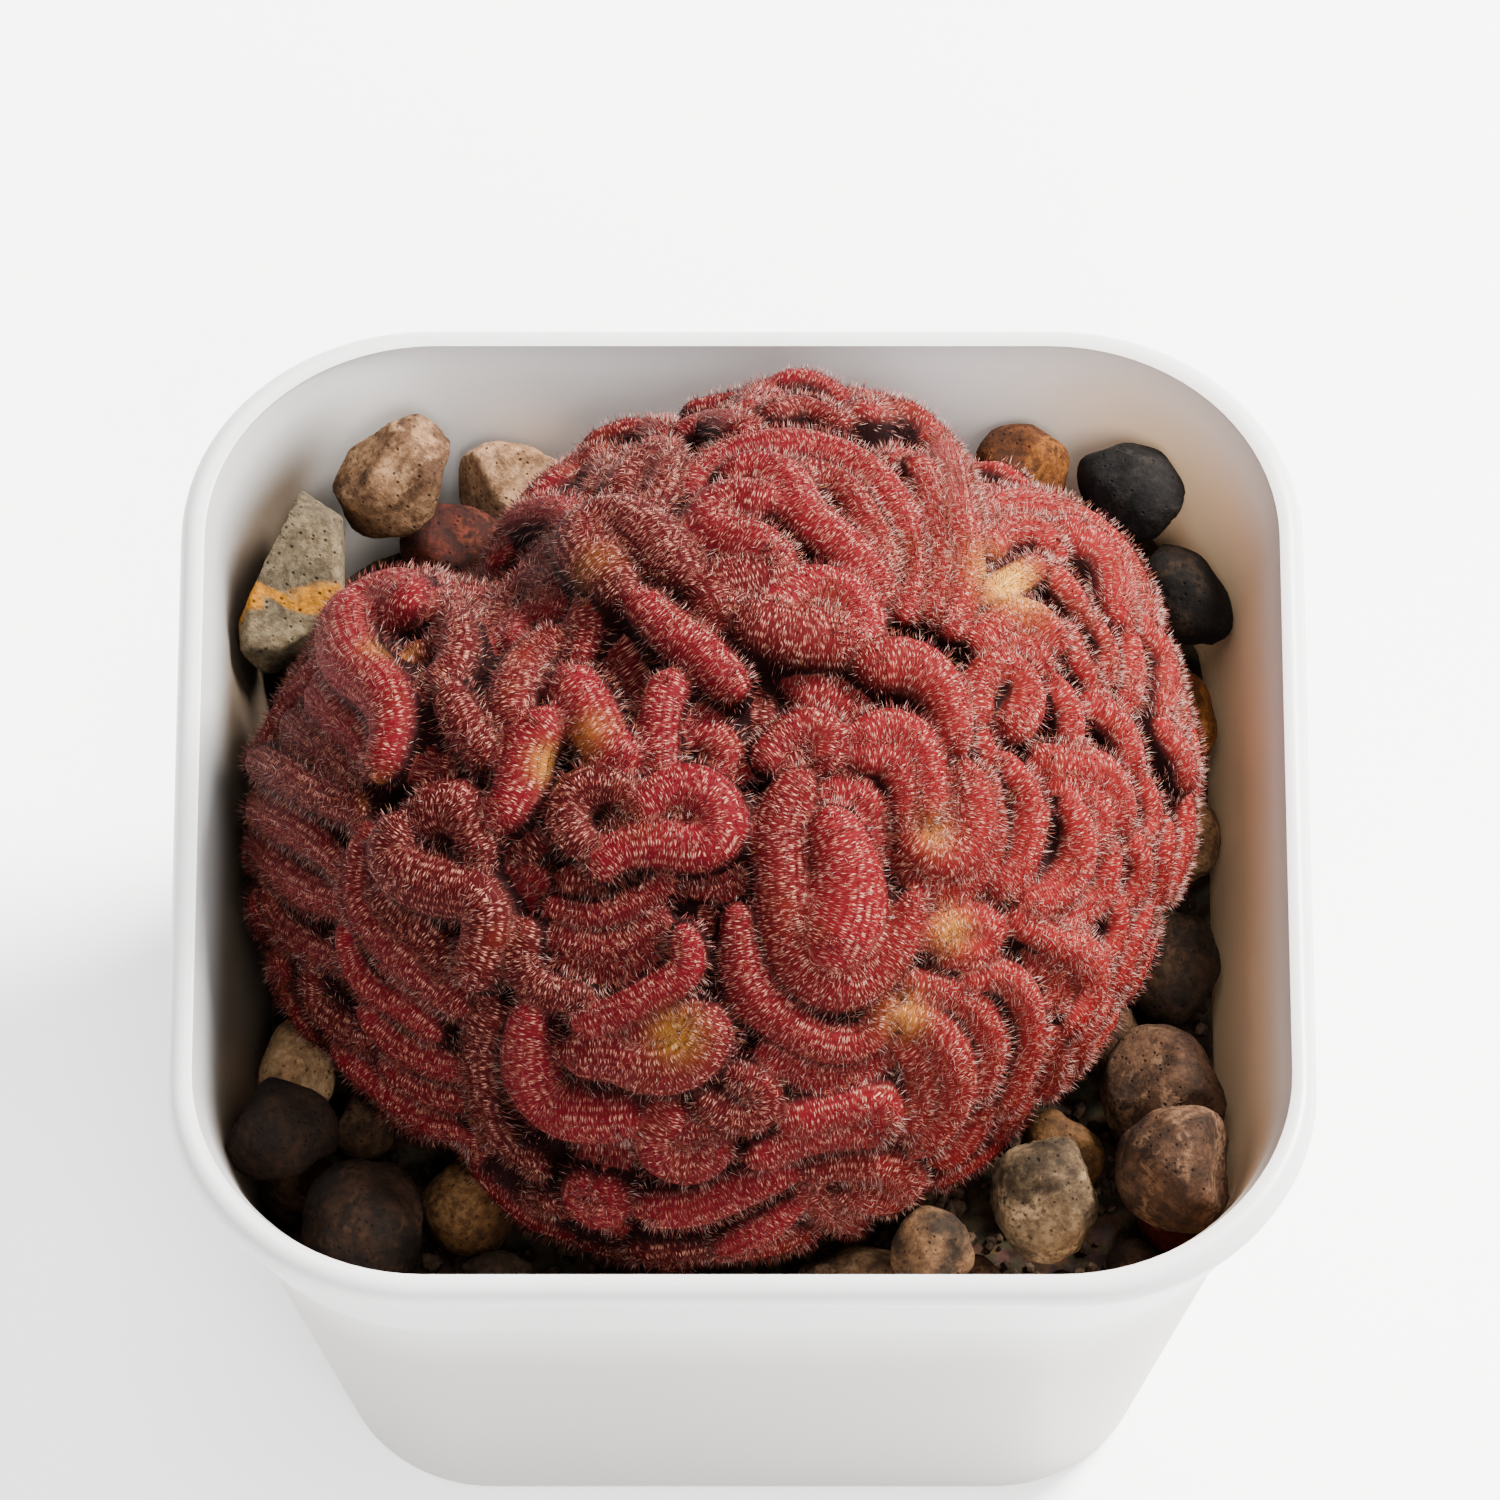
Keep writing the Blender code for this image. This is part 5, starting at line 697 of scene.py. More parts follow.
    (97, 1.8, -0.2, [(-22.4, -31.6), (-21.4, -34.2), (-19.5, -36.5), (-17.0, -38.4), (-14.2, -39.4)]),
    (98, 1.4, -0.1, [(-19.3, -34.0), (-17.6, -35.8), (-15.6, -37.0)]),
    (99, 2.6, 0.4, [(-17.0, -21.4), (-17.2, -24.2), (-16.4, -27.0), (-14.4, -28.9), (-12.0, -29.5),
                    (-9.8, -29.4)]),
    (100, 2.2, 0.3, [(-12.4, -34.9), (-12.4, -36.4), (-11.2, -36.7), (-10.8, -35.4)]),
    (101, 1.3, -0.8, [(-12.6, -32.7), (-9.8, -33.2)]),
    (102, 2.0, 0.3, [(-17.3, -14.8), (-17.5, -17.0), (-15.6, -18.9), (-12.8, -19.4)]),
    (103, 2.2, 0.4, [(-12.2, -21.3), (-9.6, -20.6), (-6.8, -19.0), (-4.4, -17.2), (-4.5, -15.0)]),
    (104, 1.5, -0.3, [(-13.8, -17.2), (-11.0, -17.6), (-8.4, -16.9), (-6.8, -15.4)]),
    (105, 1.8, 0.0, [(-15.2, -12.2), (-12.6, -13.1), (-9.6, -12.8), (-7.2, -11.6), (-5.9, -10.8)]),
    (106, 1.3, -0.6, [(-14.4, -10.3), (-11.6, -10.6)]),
    (104, 1.4, 0.0, [(-14.2, -14.9), (-11.6, -15.6), (-8.8, -14.9), (-6.9, -13.4)]),
    (107, 2.6, 0.4, [(-12.6, -23.6), (-10.0, -24.0), (-7.0, -25.2), (-4.2, -24.6), (-3.0, -22.8)]),
    (107, 1.4, 0.2, [(-8.6, -22.4), (-6.4, -21.8), (-4.2, -21.2)]),
    (108, 1.8, 0.1, [(-6.4, -29.7), (-7.2, -31.6), (-6.1, -33.2), (-3.8, -33.5), (-2.3, -32.4)]),
    (108, 1.3, -0.2, [(-4.8, -30.9), (-3.2, -30.8)]),
    (109, 1.5, -0.3, [(-12.6, -40.4), (-9.6, -41.2), (-6.4, -41.2), (-3.4, -40.9)]),
]

# Bare ground between the traced folds, and the whole far side, grows folds by rule
FILL_SEED = 11
FILL_STARTS = 1400
FILL_STEP = 1.9
FILL_STEPS = 6
FILL_BEND = 0.42
FILL_HALF_WIDTH = (1.1, 2.3)
FILL_SWELL = 1.2
FILL_LIFT = (-1.6, -0.2)
FILL_OVERLAP = 0.15
ROUTE_STEP = 1.6


def view_axes():
    """Unit vectors of the view plane: right, up, and out towards the eye."""
    sin_e = math.sin(VIEW_ELEVATION)
    cos_e = math.cos(VIEW_ELEVATION)
    return Vector((1, 0, 0)), Vector((0, sin_e, cos_e)), Vector((0, -cos_e, sin_e))


def dome_in_view():
    """Centre of the dome as (s, t, depth) on the view axes."""
    offset = Vector(DOME_CENTRE) - Vector(VIEW_AIM)
    return [offset.dot(axis) for axis in view_axes()]


def lobe_factor(angle):
    """Factor on the dome's radius at an angle round its edge, eased between the LOBES."""
    angle = angle % 360
    for (a0, f0), (a1, f1) in zip(LOBES, LOBES[1:] + [(360, LOBES[0][1])]):
        if a0 <= angle <= a1:
            ease = 0.5 - 0.5 * math.cos(math.pi * (angle - a0) / (a1 - a0))
            return f0 + (f1 - f0) * ease
    return 1.0


def depth_on_ellipsoid(s, t, height):
    """Depth where the line of sight at (s, t) meets an ellipsoid of that height."""
    sin_e = math.sin(VIEW_ELEVATION)
    cos_e = math.cos(VIEW_ELEVATION)
    rx, ry = DOME_RADII[:2]
    a = (cos_e / ry) ** 2 + (sin_e / height) ** 2
    b = t * sin_e * cos_e * (1 / height ** 2 - 1 / ry ** 2)
    c = (s / rx) ** 2 + (t * sin_e / ry) ** 2 + (t * cos_e / height) ** 2 - 1
    return (-b + math.sqrt(max(b * b - a * c, 0.0))) / a


def dome_point(s, t):
    """Point of the dome seen at (s, t) of the view plane, and its outward normal, in mm."""
    right, up, out = view_axes()
    s0, t0, d0 = dome_in_view()
    depth = d0 + DOME_RADII[2]
    for _ in range(4):
        near = 1 - depth / VIEW_DISTANCE
        ds = s * near - s0
        dt = t * near - t0
        factor = lobe_factor(math.degrees(math.atan2(dt, ds)))
        local = depth_on_ellipsoid(ds / factor, dt / factor, DOME_RADII[2])
        height = DOME_RADII[2]
        if (up * dt / factor + out * local).z < 0:
            height = DOME_UNDERSIDE
            local = depth_on_ellipsoid(ds / factor, dt / factor, height)
        depth = d0 + local
    point = Vector(VIEW_AIM) + right * (s0 + ds) + up * (t0 + dt) + out * depth
    body = right * ds / factor + up * dt / factor + out * local
    rx, ry = DOME_RADII[:2]
    normal = Vector((body.x / rx ** 2, body.y / ry ** 2, body.z / height ** 2)).normalized()
    return point, normal


def dome_round(direction, inset=0.0):
    """Point of the dome along a unit direction of its ellipsoid, and its outward normal."""
    right, up, out = view_axes()
    rx, ry, rz = DOME_RADII
    height = rz if direction.z > 0 else DOME_UNDERSIDE
    body = Vector((direction.x * (rx - inset), direction.y * (ry - inset),
                   direction.z * (height - inset)))
    ds, dt = body.dot(right), body.dot(up)
    factor = lobe_factor(math.degrees(math.atan2(dt, ds)))
    point = Vector(DOME_CENTRE) + right * ds * factor + up * dt * factor + out * body.dot(out)
    normal = Vector((direction.x / rx, direction.y / ry, direction.z / height)).normalized()
    return point, normal


def smooth_route(route, step):
    """Points at an even step along a smooth curve through the route's own points."""
    points = [Vector(p) for p in route]
    padded = [2 * points[0] - points[1]] + points + [2 * points[-1] - points[-2]]
    dense = []
    for p0, p1, p2, p3 in zip(padded, padded[1:], padded[2:], padded[3:]):
        for i in range(8):
            u = i / 8
            dense.append(0.5 * (2 * p1 + (p2 - p0) * u + (2 * p0 - 5 * p1 + 4 * p2 - p3) * u * u
                                + (3 * p1 - p0 - 3 * p2 + p3) * u ** 3))
    dense.append(points[-1])
    lengths = [0.0]
    for a, b in zip(dense, dense[1:]):
        lengths.append(lengths[-1] + (b - a).length)
    count = max(1, round(lengths[-1] / step))
    out = []
    for k in range(count + 1):
        want = lengths[-1] * k / count
        i = max(j for j in range(len(lengths)) if lengths[j] <= want + 1e-9)
        i = min(i, len(dense) - 2)
        span = max(lengths[i + 1] - lengths[i], 1e-9)
        out.append(dense[i].lerp(dense[i + 1], (want - lengths[i]) / span))
    return out


def traced_folds():
    """The folds of FOLDS as (clump, most half width, lift, [(point, normal), ...])."""
    folds = []
    for clump, half_width, lift, route in FOLDS:
        spots = smooth_route([(s, t, 0) for s, t in route], ROUTE_STEP)
        folds.append((clump, half_width * FOLD_SWELL, lift * LIFT_GAIN,
                      [dome_point(spot.x, spot.y) for spot in spots]))
    return folds


def smoothed(values):
    """A row of numbers, each drawn twice towards its neighbours."""
    for _ in range(2):
        padded = np.pad(values, 1, mode="edge")
        values = 0.25 * padded[:-2] + 0.5 * padded[1:-1] + 0.25 * padded[2:]
    return values


def free_reach(away, direction):
    """How far each point can grow that way until it is as close to one of the others."""
    towards = np.einsum("ijk,ik->ij", away, direction)
    return (np.square(away).sum(axis=2) / np.maximum(2 * towards, 0.01)).min(axis=1)


def fold_room(folds):
    """Per fold: sideways directions, and the room on both sides up to the next clump."""
    spots = np.array([point for *_, line in folds for point, _ in line])
    clumps = np.array([clump for clump, _, _, line in folds for _ in line])
    rooms = []
    for clump, most, _, line in folds:
        own = np.array([point for point, _ in line])
        ahead = np.gradient(own, axis=0)
        ahead /= np.linalg.norm(ahead, axis=1)[:, None]
        side = np.cross(ahead, [normal for _, normal in line])
        away = spots[None, clumps != clump] - own[:, None]
        left = np.minimum(free_reach(away, side), most)
        right = np.minimum(free_reach(away, -side), most)
        tips = (free_reach(away[:1], -ahead[:1])[0], free_reach(away[-1:], ahead[-1:])[0])
        rooms.append((side, left, right, tips))
    return rooms


def spread_folds(folds):
    """Slide the folds sideways until each has about as much room on both sides."""
    for _ in range(SPREAD_ROUNDS):
        rooms = fold_room(folds)
        folds = [(clump, most, lift,
                  [(point + Vector(away * slide), normal) for (point, normal), away, slide in
                   zip(line, side, smoothed((left - right) * 0.5 * SPREAD_SHARE))])
                 for (clump, most, lift, line), (side, left, right, _) in zip(folds, rooms)]
    return folds


def fitted_widths(folds):
    """Half widths along every fold, as far as its neighbours leave room."""
    widths = []
    for (_, most, _, _), (_, left, right, tips) in zip(folds, fold_room(folds)):
        fit = np.minimum((left + right) * 0.5, np.minimum(left, right) * FOLD_LEAN)
        fit[0] = min(fit[0], tips[0])
        fit[-1] = min(fit[-1], tips[1])
        widths.append(smoothed(np.clip(fit * FOLD_CROWDING, FOLD_THINNEST, most)))
    return widths


def clear_of(point, taken, reach, half_width):
    """Whether a fold of that half width fits at a point beside its neighbours."""
    gaps = np.linalg.norm(taken - point, axis=1) - reach
    return point.z > SOIL_TOP + 1.5 and np.min(gaps) > half_width * (1 - FILL_OVERLAP)


def grow(start, heading, bend, half_width, taken, reach):
    """Directions of a curved fold that stops before it meets a neighbour."""
    path = [start]
    side = start.cross(heading).normalized()
    for _ in range(FILL_STEPS):
        side = (Matrix.Rotation(bend, 3, path[-1]) @ side).normalized()
        trial = (Matrix.Rotation(FILL_STEP / DOME_RADII[0], 3, side) @ path[-1]).normalized()
        if not clear_of(dome_round(trial)[0], taken, reach, half_width):
            break
        path.append(trial)
    return path


def filling_folds(folds):
    """Folds by rule, wherever the dome is still bare: wide ones first, then narrower ones."""
    draw = random.Random(FILL_SEED)
    taken = np.array([point for *_, line in folds for point, _ in line])
    reach = np.concatenate(fitted_widths(folds))
    golden = math.pi * (3 - math.sqrt(5))
    added = []
    for turn, i in enumerate(draw.sample(range(FILL_STARTS), FILL_STARTS)):
        z = 1 - 1.7 * (i + 0.5) / FILL_STARTS
        flat = math.sqrt(1 - z * z)
        start = Vector((flat * math.cos(golden * i), flat * math.sin(golden * i), z))
        narrow, wide = FILL_HALF_WIDTH
        half_width = wide - (wide - narrow) * turn / FILL_STARTS
        bend = draw.uniform(-FILL_BEND, FILL_BEND)
        heading = start.cross(Vector((draw.gauss(0, 1), draw.gauss(0, 1), draw.gauss(0, 1))))
        if not clear_of(dome_round(start)[0], taken, reach, half_width):
            continue
        tail = grow(start, heading, bend, half_width, taken, reach)
        head = grow(start, -heading, -bend, half_width, taken, reach)
        path = [tuple(unit) for unit in tail[:0:-1] + head]
        if len(path) == 1:
            path.append(tuple(start + heading.normalized() * 0.02))
        length = min(1.0, (len(path) - 1) / FILL_STEPS)
        lift = FILL_LIFT[0] + (FILL_LIFT[1] - FILL_LIFT[0]) * length
        line = [dome_round(unit.normalized()) for unit in
                smooth_route(path, ROUTE_STEP / DOME_RADII[0])]
        added.append((-1 - len(added), half_width * FILL_SWELL, lift, line))
        taken = np.vstack([taken, [point for point, _ in line]])
        reach = np.append(reach, [half_width] * len(line))
    return added


def crest_folds():
    """Every fold of the crest as (half widths, lift, line)."""
    folds = spread_folds(traced_folds())
    folds = spread_folds(folds + filling_folds(folds))
    return [(widths, lift, line) for (_, _, lift, line), widths in
            zip(folds, fitted_widths(folds))]


def refine(line, widths):
    """A fold's line and half widths resampled at the finer step of the visible skin."""
    fine = smooth_route([point for point, _ in line], FOLD_STEP)
    count = len(fine) - 1
    stations = []
    for i, point in enumerate(fine):
        place = i / count * (len(line) - 1)
        low = min(int(place), len(line) - 2)
        part = place - low
        normal = line[low][1].lerp(line[low + 1][1], part).normalized()
        width = widths[low] * (1 - part) + widths[low + 1] * part
        stations.append((point, normal, width))
    return stations


def sweep(bm, stations, lift):
    """Add one fold to a mesh, round on top and at its ends, its foot sunk in the core."""
    whole = []
    for end, past in ((0, 1), (-1, -2)):
        point, normal, width = stations[end]
        along = (point - stations[past][0]).normalized()
        tips = [(point + along * width * ahead, normal, width, scale)
                for ahead, scale in FOLD_TIPS]
        if end == 0:
            whole = tips + [(*station, 1.0) for station in stations]
        else:
            whole += reversed(tips)
    rings = []
    for i, (point, normal, width, scale) in enumerate(whole):
        ahead = whole[min(i + 1, len(whole) - 1)][0] - whole[max(i - 1, 0)][0]
        side = ahead.cross(normal).normalized()
        top = point + normal * (lift - (1 - scale) * width * FOLD_DROOP)
        foot = point - normal * (CORE_DEPTH + FOLD_FOOT)
        ring = [top + side * across * width * scale + normal * down * width
                for across, down in FOLD_SECTION]
        ring.append(foot + side * FOLD_FOOT * width * scale)
        ring.append(foot - side * FOLD_FOOT * width * scale)
        rings.append([bm.verts.new(spot * MM) for spot in ring])
    for near, far in zip(rings, rings[1:]):
        for i in range(len(near)):
            j = (i + 1) % len(near)
            bm.faces.new((near[i], near[j], far[j], far[i]))
    bm.faces.new(rings[0])
    bm.faces.new(reversed(rings[-1]))


def crest_skin(folds):
    """Core, folds and root melted into one skin, flat where it meets the soil."""
    bm = bmesh.new()
    bmesh.ops.create_icosphere(bm, subdivisions=5, radius=1.0)
    for vert in bm.verts:
        vert.co = dome_round(vert.co.normalized(), CORE_DEPTH)[0] * MM
    for stations, lift in folds:
        sweep(bm, stations, lift)
    root = bmesh.ops.create_cone(bm, cap_ends=True, segments=32, radius1=ROOT_RADIUS * MM,
                                 radius2=ROOT_RADIUS * MM, depth=ROOT_LENGTH * MM)["verts"]
    bmesh.ops.translate(bm, verts=root, vec=(DOME_CENTRE[0] * MM, DOME_CENTRE[1] * MM,
                                             ROOT_MIDDLE * MM))
    bmesh.ops.recalc_face_normals(bm, faces=bm.faces)
    mesh = bpy.data.meshes.new("crest_skin")
    bm.to_mesh(mesh)
    bm.free()
    obj = link("crest_flesh", mesh)
    skin = obj.modifiers.new("skin", "REMESH")
    skin.mode = "VOXEL"
    skin.voxel_size = SKIN_VOXEL * MM
    apply_modifier(obj, skin)
    soften = obj.modifiers.new("soften", "SMOOTH")
    soften.factor = 0.5
    soften.iterations = 2
    apply_modifier(obj, soften)
    lighten = obj.modifiers.new("lighten", "DECIMATE")
    lighten.ratio = SKIN_TRIANGLES / (2 * len(obj.data.polygons))
    apply_modifier(obj, lighten)
    floor = (SOIL_TOP + 0.3) * MM
    for vert in obj.data.vertices:
        away = math.hypot(vert.co.x - DOME_CENTRE[0] * MM, vert.co.y - DOME_CENTRE[1] * MM)
        if vert.co.z < floor and away > (ROOT_RADIUS + 0.4) * MM:
            vert.co.z = floor
    obj.data.shade_smooth()
    return obj


def marks(folds):
    """Arrays over all stations: top, normal, side, half width, fold number, place along."""
    rows = []
    for number, (stations, lift) in enumerate(folds):
        run = 0.0
        for i, (point, normal, width) in enumerate(stations):
            ahead = stations[min(i + 1, len(stations) - 1)][0] - stations[max(i - 1, 0)][0]
            side = ahead.cross(normal).normalized()
            rows.append((*(point + normal * lift), *normal, *side, width, number, run))
            run += FOLD_STEP
    return np.array(rows)


def nearest_fold(spots, table):
    """Per point in mm: share across and down its fold, fold number, mm along it, mm over its back."""
    centres = table[:, :3] - table[:, 3:6] * table[:, 9:10] * FOLD_HEART
    tree = KDTree(len(centres))
    for i, centre in enumerate(centres):
        tree.insert(centre, i)
    tree.balance()
    ways = np.cross(table[:, 3:6], table[:, 6:9])
    found = np.zeros((len(spots), 5))
    for k, spot in enumerate(spots):
        _, index, _ = min(tree.find_n(spot, 6), key=lambda hit: hit[2] / table[hit[1], 9])
        row = table[index]
        offset = spot - row[:3]
        aside, down = offset @ row[6:9], -(offset @ row[3:6])
        over = math.atan2(aside, max(0.2 * row[9], row[9] - down)) * row[9]
        found[k] = (abs(aside) / row[9], down / row[9], row[10], row[11] + offset @ ways[index], over)
    return found


def set_attribute(mesh, name, values):
    """Store one number per vertex."""
    layer = mesh.attributes.new(name, "FLOAT", "POINT")
    layer.data.foreach_set("value", np.asarray(values, dtype=np.float32))


folds = [(refine(line, widths * (1 + PROUD_SWELL * max(0.0, lift))),
          lift * (PROUD_GAIN if lift > 0 else SUNK_GAIN))
         for widths, lift, line in crest_folds()]
table = marks(folds)
crest = crest_skin(folds)
spots = np.empty(len(crest.data.vertices) * 3)
crest.data.vertices.foreach_get("co", spots)
spots = spots.reshape(-1, 3) / MM
found = nearest_fold(spots, table)
set_attribute(crest.data, "across", found[:, 0])
set_attribute(crest.data, "down", found[:, 1])
set_attribute(crest.data, "stride", found[:, 3])
set_attribute(crest.data, "over", found[:, 4])
tones = np.array([random.Random(n).random() for n in range(len(folds))])
set_attribute(crest.data, "tone", tones[found[:, 2].astype(int)])

# Yellow and orange patches of flesh: place on the view plane, radius, strength
PATCHES = [(21.2, 13.2, 2.6, 1.0), (-11.2, 13.8, 1.5, 0.5), (-4.9, -22.6, 1.7, 0.75),
           (-15.2, -1.2, 1.4, 0.6), (-11.7, 0.8, 1.5, 0.5), (14.9, -6.7, 1.4, 0.4),
           (12.9, -21.0, 1.7, 0.4), (-28.7, -3.2, 1.4, 0.3), (16.5, -14.3, 1.5, 0.5),
           (-28.0, 8.0, 1.6, 0.5)]
gold = np.zeros(len(spots))
for s, t, radius, strength in PATCHES:
    centre = np.array(dome_point(s, t)[0])
    reach = np.linalg.norm(spots - centre, axis=1) / radius
    gold = np.maximum(gold, strength * np.exp(-reach ** 2))
set_attribute(crest.data, "gold", gold)

flesh, tree, shader = material("crest_flesh")
place = add(tree, "TexCoord").outputs["Object"]
across = add(tree, "Attribute", attribute_name="across").outputs["Fac"]
down = add(tree, "Attribute", attribute_name="down").outputs["Fac"]
tone = add(tree, "Attribute", attribute_name="tone").outputs["Fac"]
patch = add(tree, "Attribute", attribute_name="gold").outputs["Fac"]
cloud = add(tree, "TexNoise", {"Vector": place, "Scale": 140.0, "Detail": 4.0}).outputs["Fac"]
side = add(tree, "SeparateXYZ", {"Vector": place}).outputs["X"]
red = mix(tree, ramp(tree, tone, 0.1, 0.9), *FLESH_TONES)
# Paler towards the right: partly the flesh's own colour, partly painted light from the right
red = mix(tree, ramp(tree, side, -0.005, 0.030), red, FLESH_RIGHT_TONE_AND_LIGHT)
red = mix(tree, ramp(tree, cloud, 0.55, 0.75), red, FLESH_CLOUD)
red = mix(tree, patch, red, FLESH_GOLD)
# Short flat hairs lie across every fold in rows, thickest on its ridge
stride = add(tree, "Attribute", attribute_name="stride").outputs["Fac"]
over = add(tree, "Attribute", attribute_name="over").outputs["Fac"]
weave = add(tree, "CombineXYZ", {
    "X": add(tree, "Math", {0: stride, 1: 1 / DASH_SIZE[0]}, operation="MULTIPLY").outputs[0],
    "Y": add(tree, "Math", {0: over, 1: 1 / DASH_SIZE[1]}, operation="MULTIPLY").outputs[0]
}).outputs["Vector"]
grid = add(tree, "TexVoronoi", {"Vector": weave, "Scale": 1.0}, voronoi_dimensions="2D")
chance = add(tree, "SeparateColor", {"Color": grid.outputs["Color"]})
rows = add(tree, "Math", {0: over, 1: 2 * math.pi / DASH_ROWS}, operation="MULTIPLY").outputs[0]
rows = add(tree, "Math", {0: rows}, operation="COSINE").outputs[0]
dash = add(tree, "Math", {0: ramp(tree, grid.outputs["Distance"], 0.50, 0.14),
                          1: ramp(tree, chance.outputs["Red"], 0.15, 0.85)},
           operation="MULTIPLY").outputs[0]
dash = add(tree, "Math", {0: dash, 1: ramp(tree, rows, -1.9, 0.7)}, operation="MULTIPLY").outputs[0]
pale = mix(tree, chance.outputs["Green"], *DASH_TONES)
pale = mix(tree, patch, pale, DASH_GOLD)
red = mix(tree, dash, red, pale)
# Painted shade: darker down a fold's sides and into the creases between folds
crease = add(tree, "Math", {0: ramp(tree, down, 0.22, 0.85), 1: ramp(tree, across, 0.70, 0.98)},
             operation="MAXIMUM").outputs[0]
red = mix(tree, crease, red, CREASE_SHADE)
tree.links.new(red, shader.inputs["Base Color"])
shader.inputs["Roughness"].default_value = 0.75
shader.inputs["Specular IOR Level"].default_value = 0.05
shader.inputs["Subsurface Weight"].default_value = 0.10
shader.inputs["Subsurface Radius"].default_value = (0.0009, 0.0003, 0.0002)
bump = add(tree, "Bump", {"Strength": 0.5, "Distance": 0.00015, "Height": dash})
tree.links.new(bump.outputs["Normal"], shader.inputs["Normal"])
crest.data.materials.append(flesh)
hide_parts("crest")
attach(crest, "root")


# Hairs: short stiff radial hairs in rows along both flanks of every fold, a pale line of them on
# its ridge, and a longer fringe low on its sides. Each is a closed spike of four faces.
HAIR_STEP = 0.23              # distance between two hairs of a row
HAIR_OFFSET = 0.13            # part of a station by which each row lies ahead of the one before
HAIR_ROWS = [-84, -71, -58, -46, -35, -25, -15, -5, 5, 15, 25, 35, 46, 58, 71, 84]  # degrees off the top
HAIR_LENGTH = (0.50, 1.05)
HAIR_LONGER = 0.25            # how much longer hairs are at the foot of a fold
HAIR_BASE = 0.032             # half width of a hair at its root
HAIR_SINK = 0.08              # how deep a hair's root sits in the skin
HAIR_LEAN = 0.38              # how far hairs stray from their own way
HAIR_TILT = (0.40, 0.45)      # radians that every hair leans out, and more per radian off the top
HAIR_TILT_STRAY = 0.15
HAIR_TILT_MOST = 1.9
HAIR_RISE = 0.7               # how much a hair follows the way that the skin faces
HAIR_REACH = 0.6              # farthest that a root is moved to lie on the skin
HAIR_ROOM = 0.8               # room that a hair needs in front of it
HAIR_COUNT = 112000
PIECE_HAIRS = 49900           # most hairs in one piece
RIDGE_ANGLE = 10              # degrees off the top where the ridge of a fold ends
BACK_ANGLE = 40               # where its back ends and its flank starts
FRINGE_ANGLE = 62             # and where the fringe at its foot starts
PALER_RIGHT_TONE_AND_LIGHT = 0.10            # how much more often a hair on the right side is a pale one: partly their own spread, partly painted light from the right
HIDDEN_FROM = 26.0            # y from which the crest faces away, so that hairs are sparser there
TOP_SHARE = 0.45              # odds that a hair on a fold's back stays, against one on its flank
HIDDEN_SHARE = 0.45           # and one where hairs are sparser
LOW_HAIRS = 46.0              # z below which they are sparser too
TIP_HAIRS = 26                # hairs on each end of a fold, per square millimetre of its width
HAIR_STRIP = 0.004            # half width of a hair on its UV strip, whose height is root to tip
# Kinds of hair: colour at the root, darker as painted shade near the skin, colour at the tip
HAIR_KINDS = {"white": ((0.10, 0.035, 0.030), (0.50, 0.32, 0.27)),
              "pearl": ((0.07, 0.005, 0.006), (0.28, 0.078, 0.060)),
              "rose": ((0.04, 0.001, 0.002), (0.12, 0.006, 0.008)),
              "straw": ((0.06, 0.007, 0.003), (0.26, 0.090, 0.028)),
              "umber": ((0.006, 0.001, 0.001), (0.028, 0.011, 0.009))}


def hair_roots(table, seed):
    """Rows of hairs over all folds: (root, direction, length, row angle) as arrays, in mm."""
    draw = np.random.default_rng(seed)
    count = len(table)
    tops, normals, sides, width = table[:, :3], table[:, 3:6], table[:, 6:9], table[:, 9:10]
    along = np.cross(normals, sides)
    roots, ways, lengths, angles = [], [], [], []
    for row, angle in enumerate(HAIR_ROWS):
        lean = math.radians(angle)
        tilt = lean * (1 + HAIR_TILT[1]) + math.copysign(HAIR_TILT[0], lean)
        for share in np.arange(0.0, 1.0, HAIR_STEP / FOLD_STEP):
            jump = draw.uniform(-0.5, 0.5, count) * HAIR_STEP
            jump += (share + row * HAIR_OFFSET) * FOLD_STEP
            spin = np.clip(tilt + draw.normal(0, HAIR_TILT_STRAY, count),
                           -HAIR_TILT_MOST, HAIR_TILT_MOST)
            outward = sides * np.sin(spin)[:, None] + normals * np.cos(spin)[:, None]
            root = (tops - normals * width * (1.7 * (1 - math.cos(lean)))
                    + sides * width * 0.98 * math.sin(lean) + along * jump[:, None])
            roots.append(root)
            ways.append(outward + draw.normal(0, HAIR_LEAN, (count, 3)))
            longer = 1 + HAIR_LONGER * abs(angle) / 90
            lengths.append(draw.uniform(*HAIR_LENGTH, count) * longer)
            angles.append(np.full(count, abs(angle)))
    return (np.vstack(roots), np.vstack(ways), np.concatenate(lengths), np.concatenate(angles))


def tip_hairs(folds, seed):
    """Hairs that fan out over both ends of every fold, as hair_roots gives them."""
    draw = np.random.default_rng(seed)
    roots, ways = [], []
    for stations, lift in folds:
        for end, past in ((0, 1), (-1, -2)):
            point, normal, width = stations[end]
            along = (point - stations[past][0]).normalized()
            side = along.cross(normal)
            heart = point + normal * (lift - width)
            for _ in range(int(TIP_HAIRS * width * width)):
                yaw, pitch = draw.uniform(-1.7, 1.7), draw.uniform(-0.3, 1.5)
                way = ((along * math.cos(yaw) + side * math.sin(yaw)) * math.cos(pitch)
                       + normal * math.sin(pitch))
                roots.append(heart + way * width * 1.02)
                ways.append(way + Vector(draw.normal(0, HAIR_LEAN * 0.6, 3)))
    lengths = draw.uniform(*HAIR_LENGTH, len(roots))
    return np.array(roots), np.array(ways), lengths, draw.uniform(15, 75, len(roots))


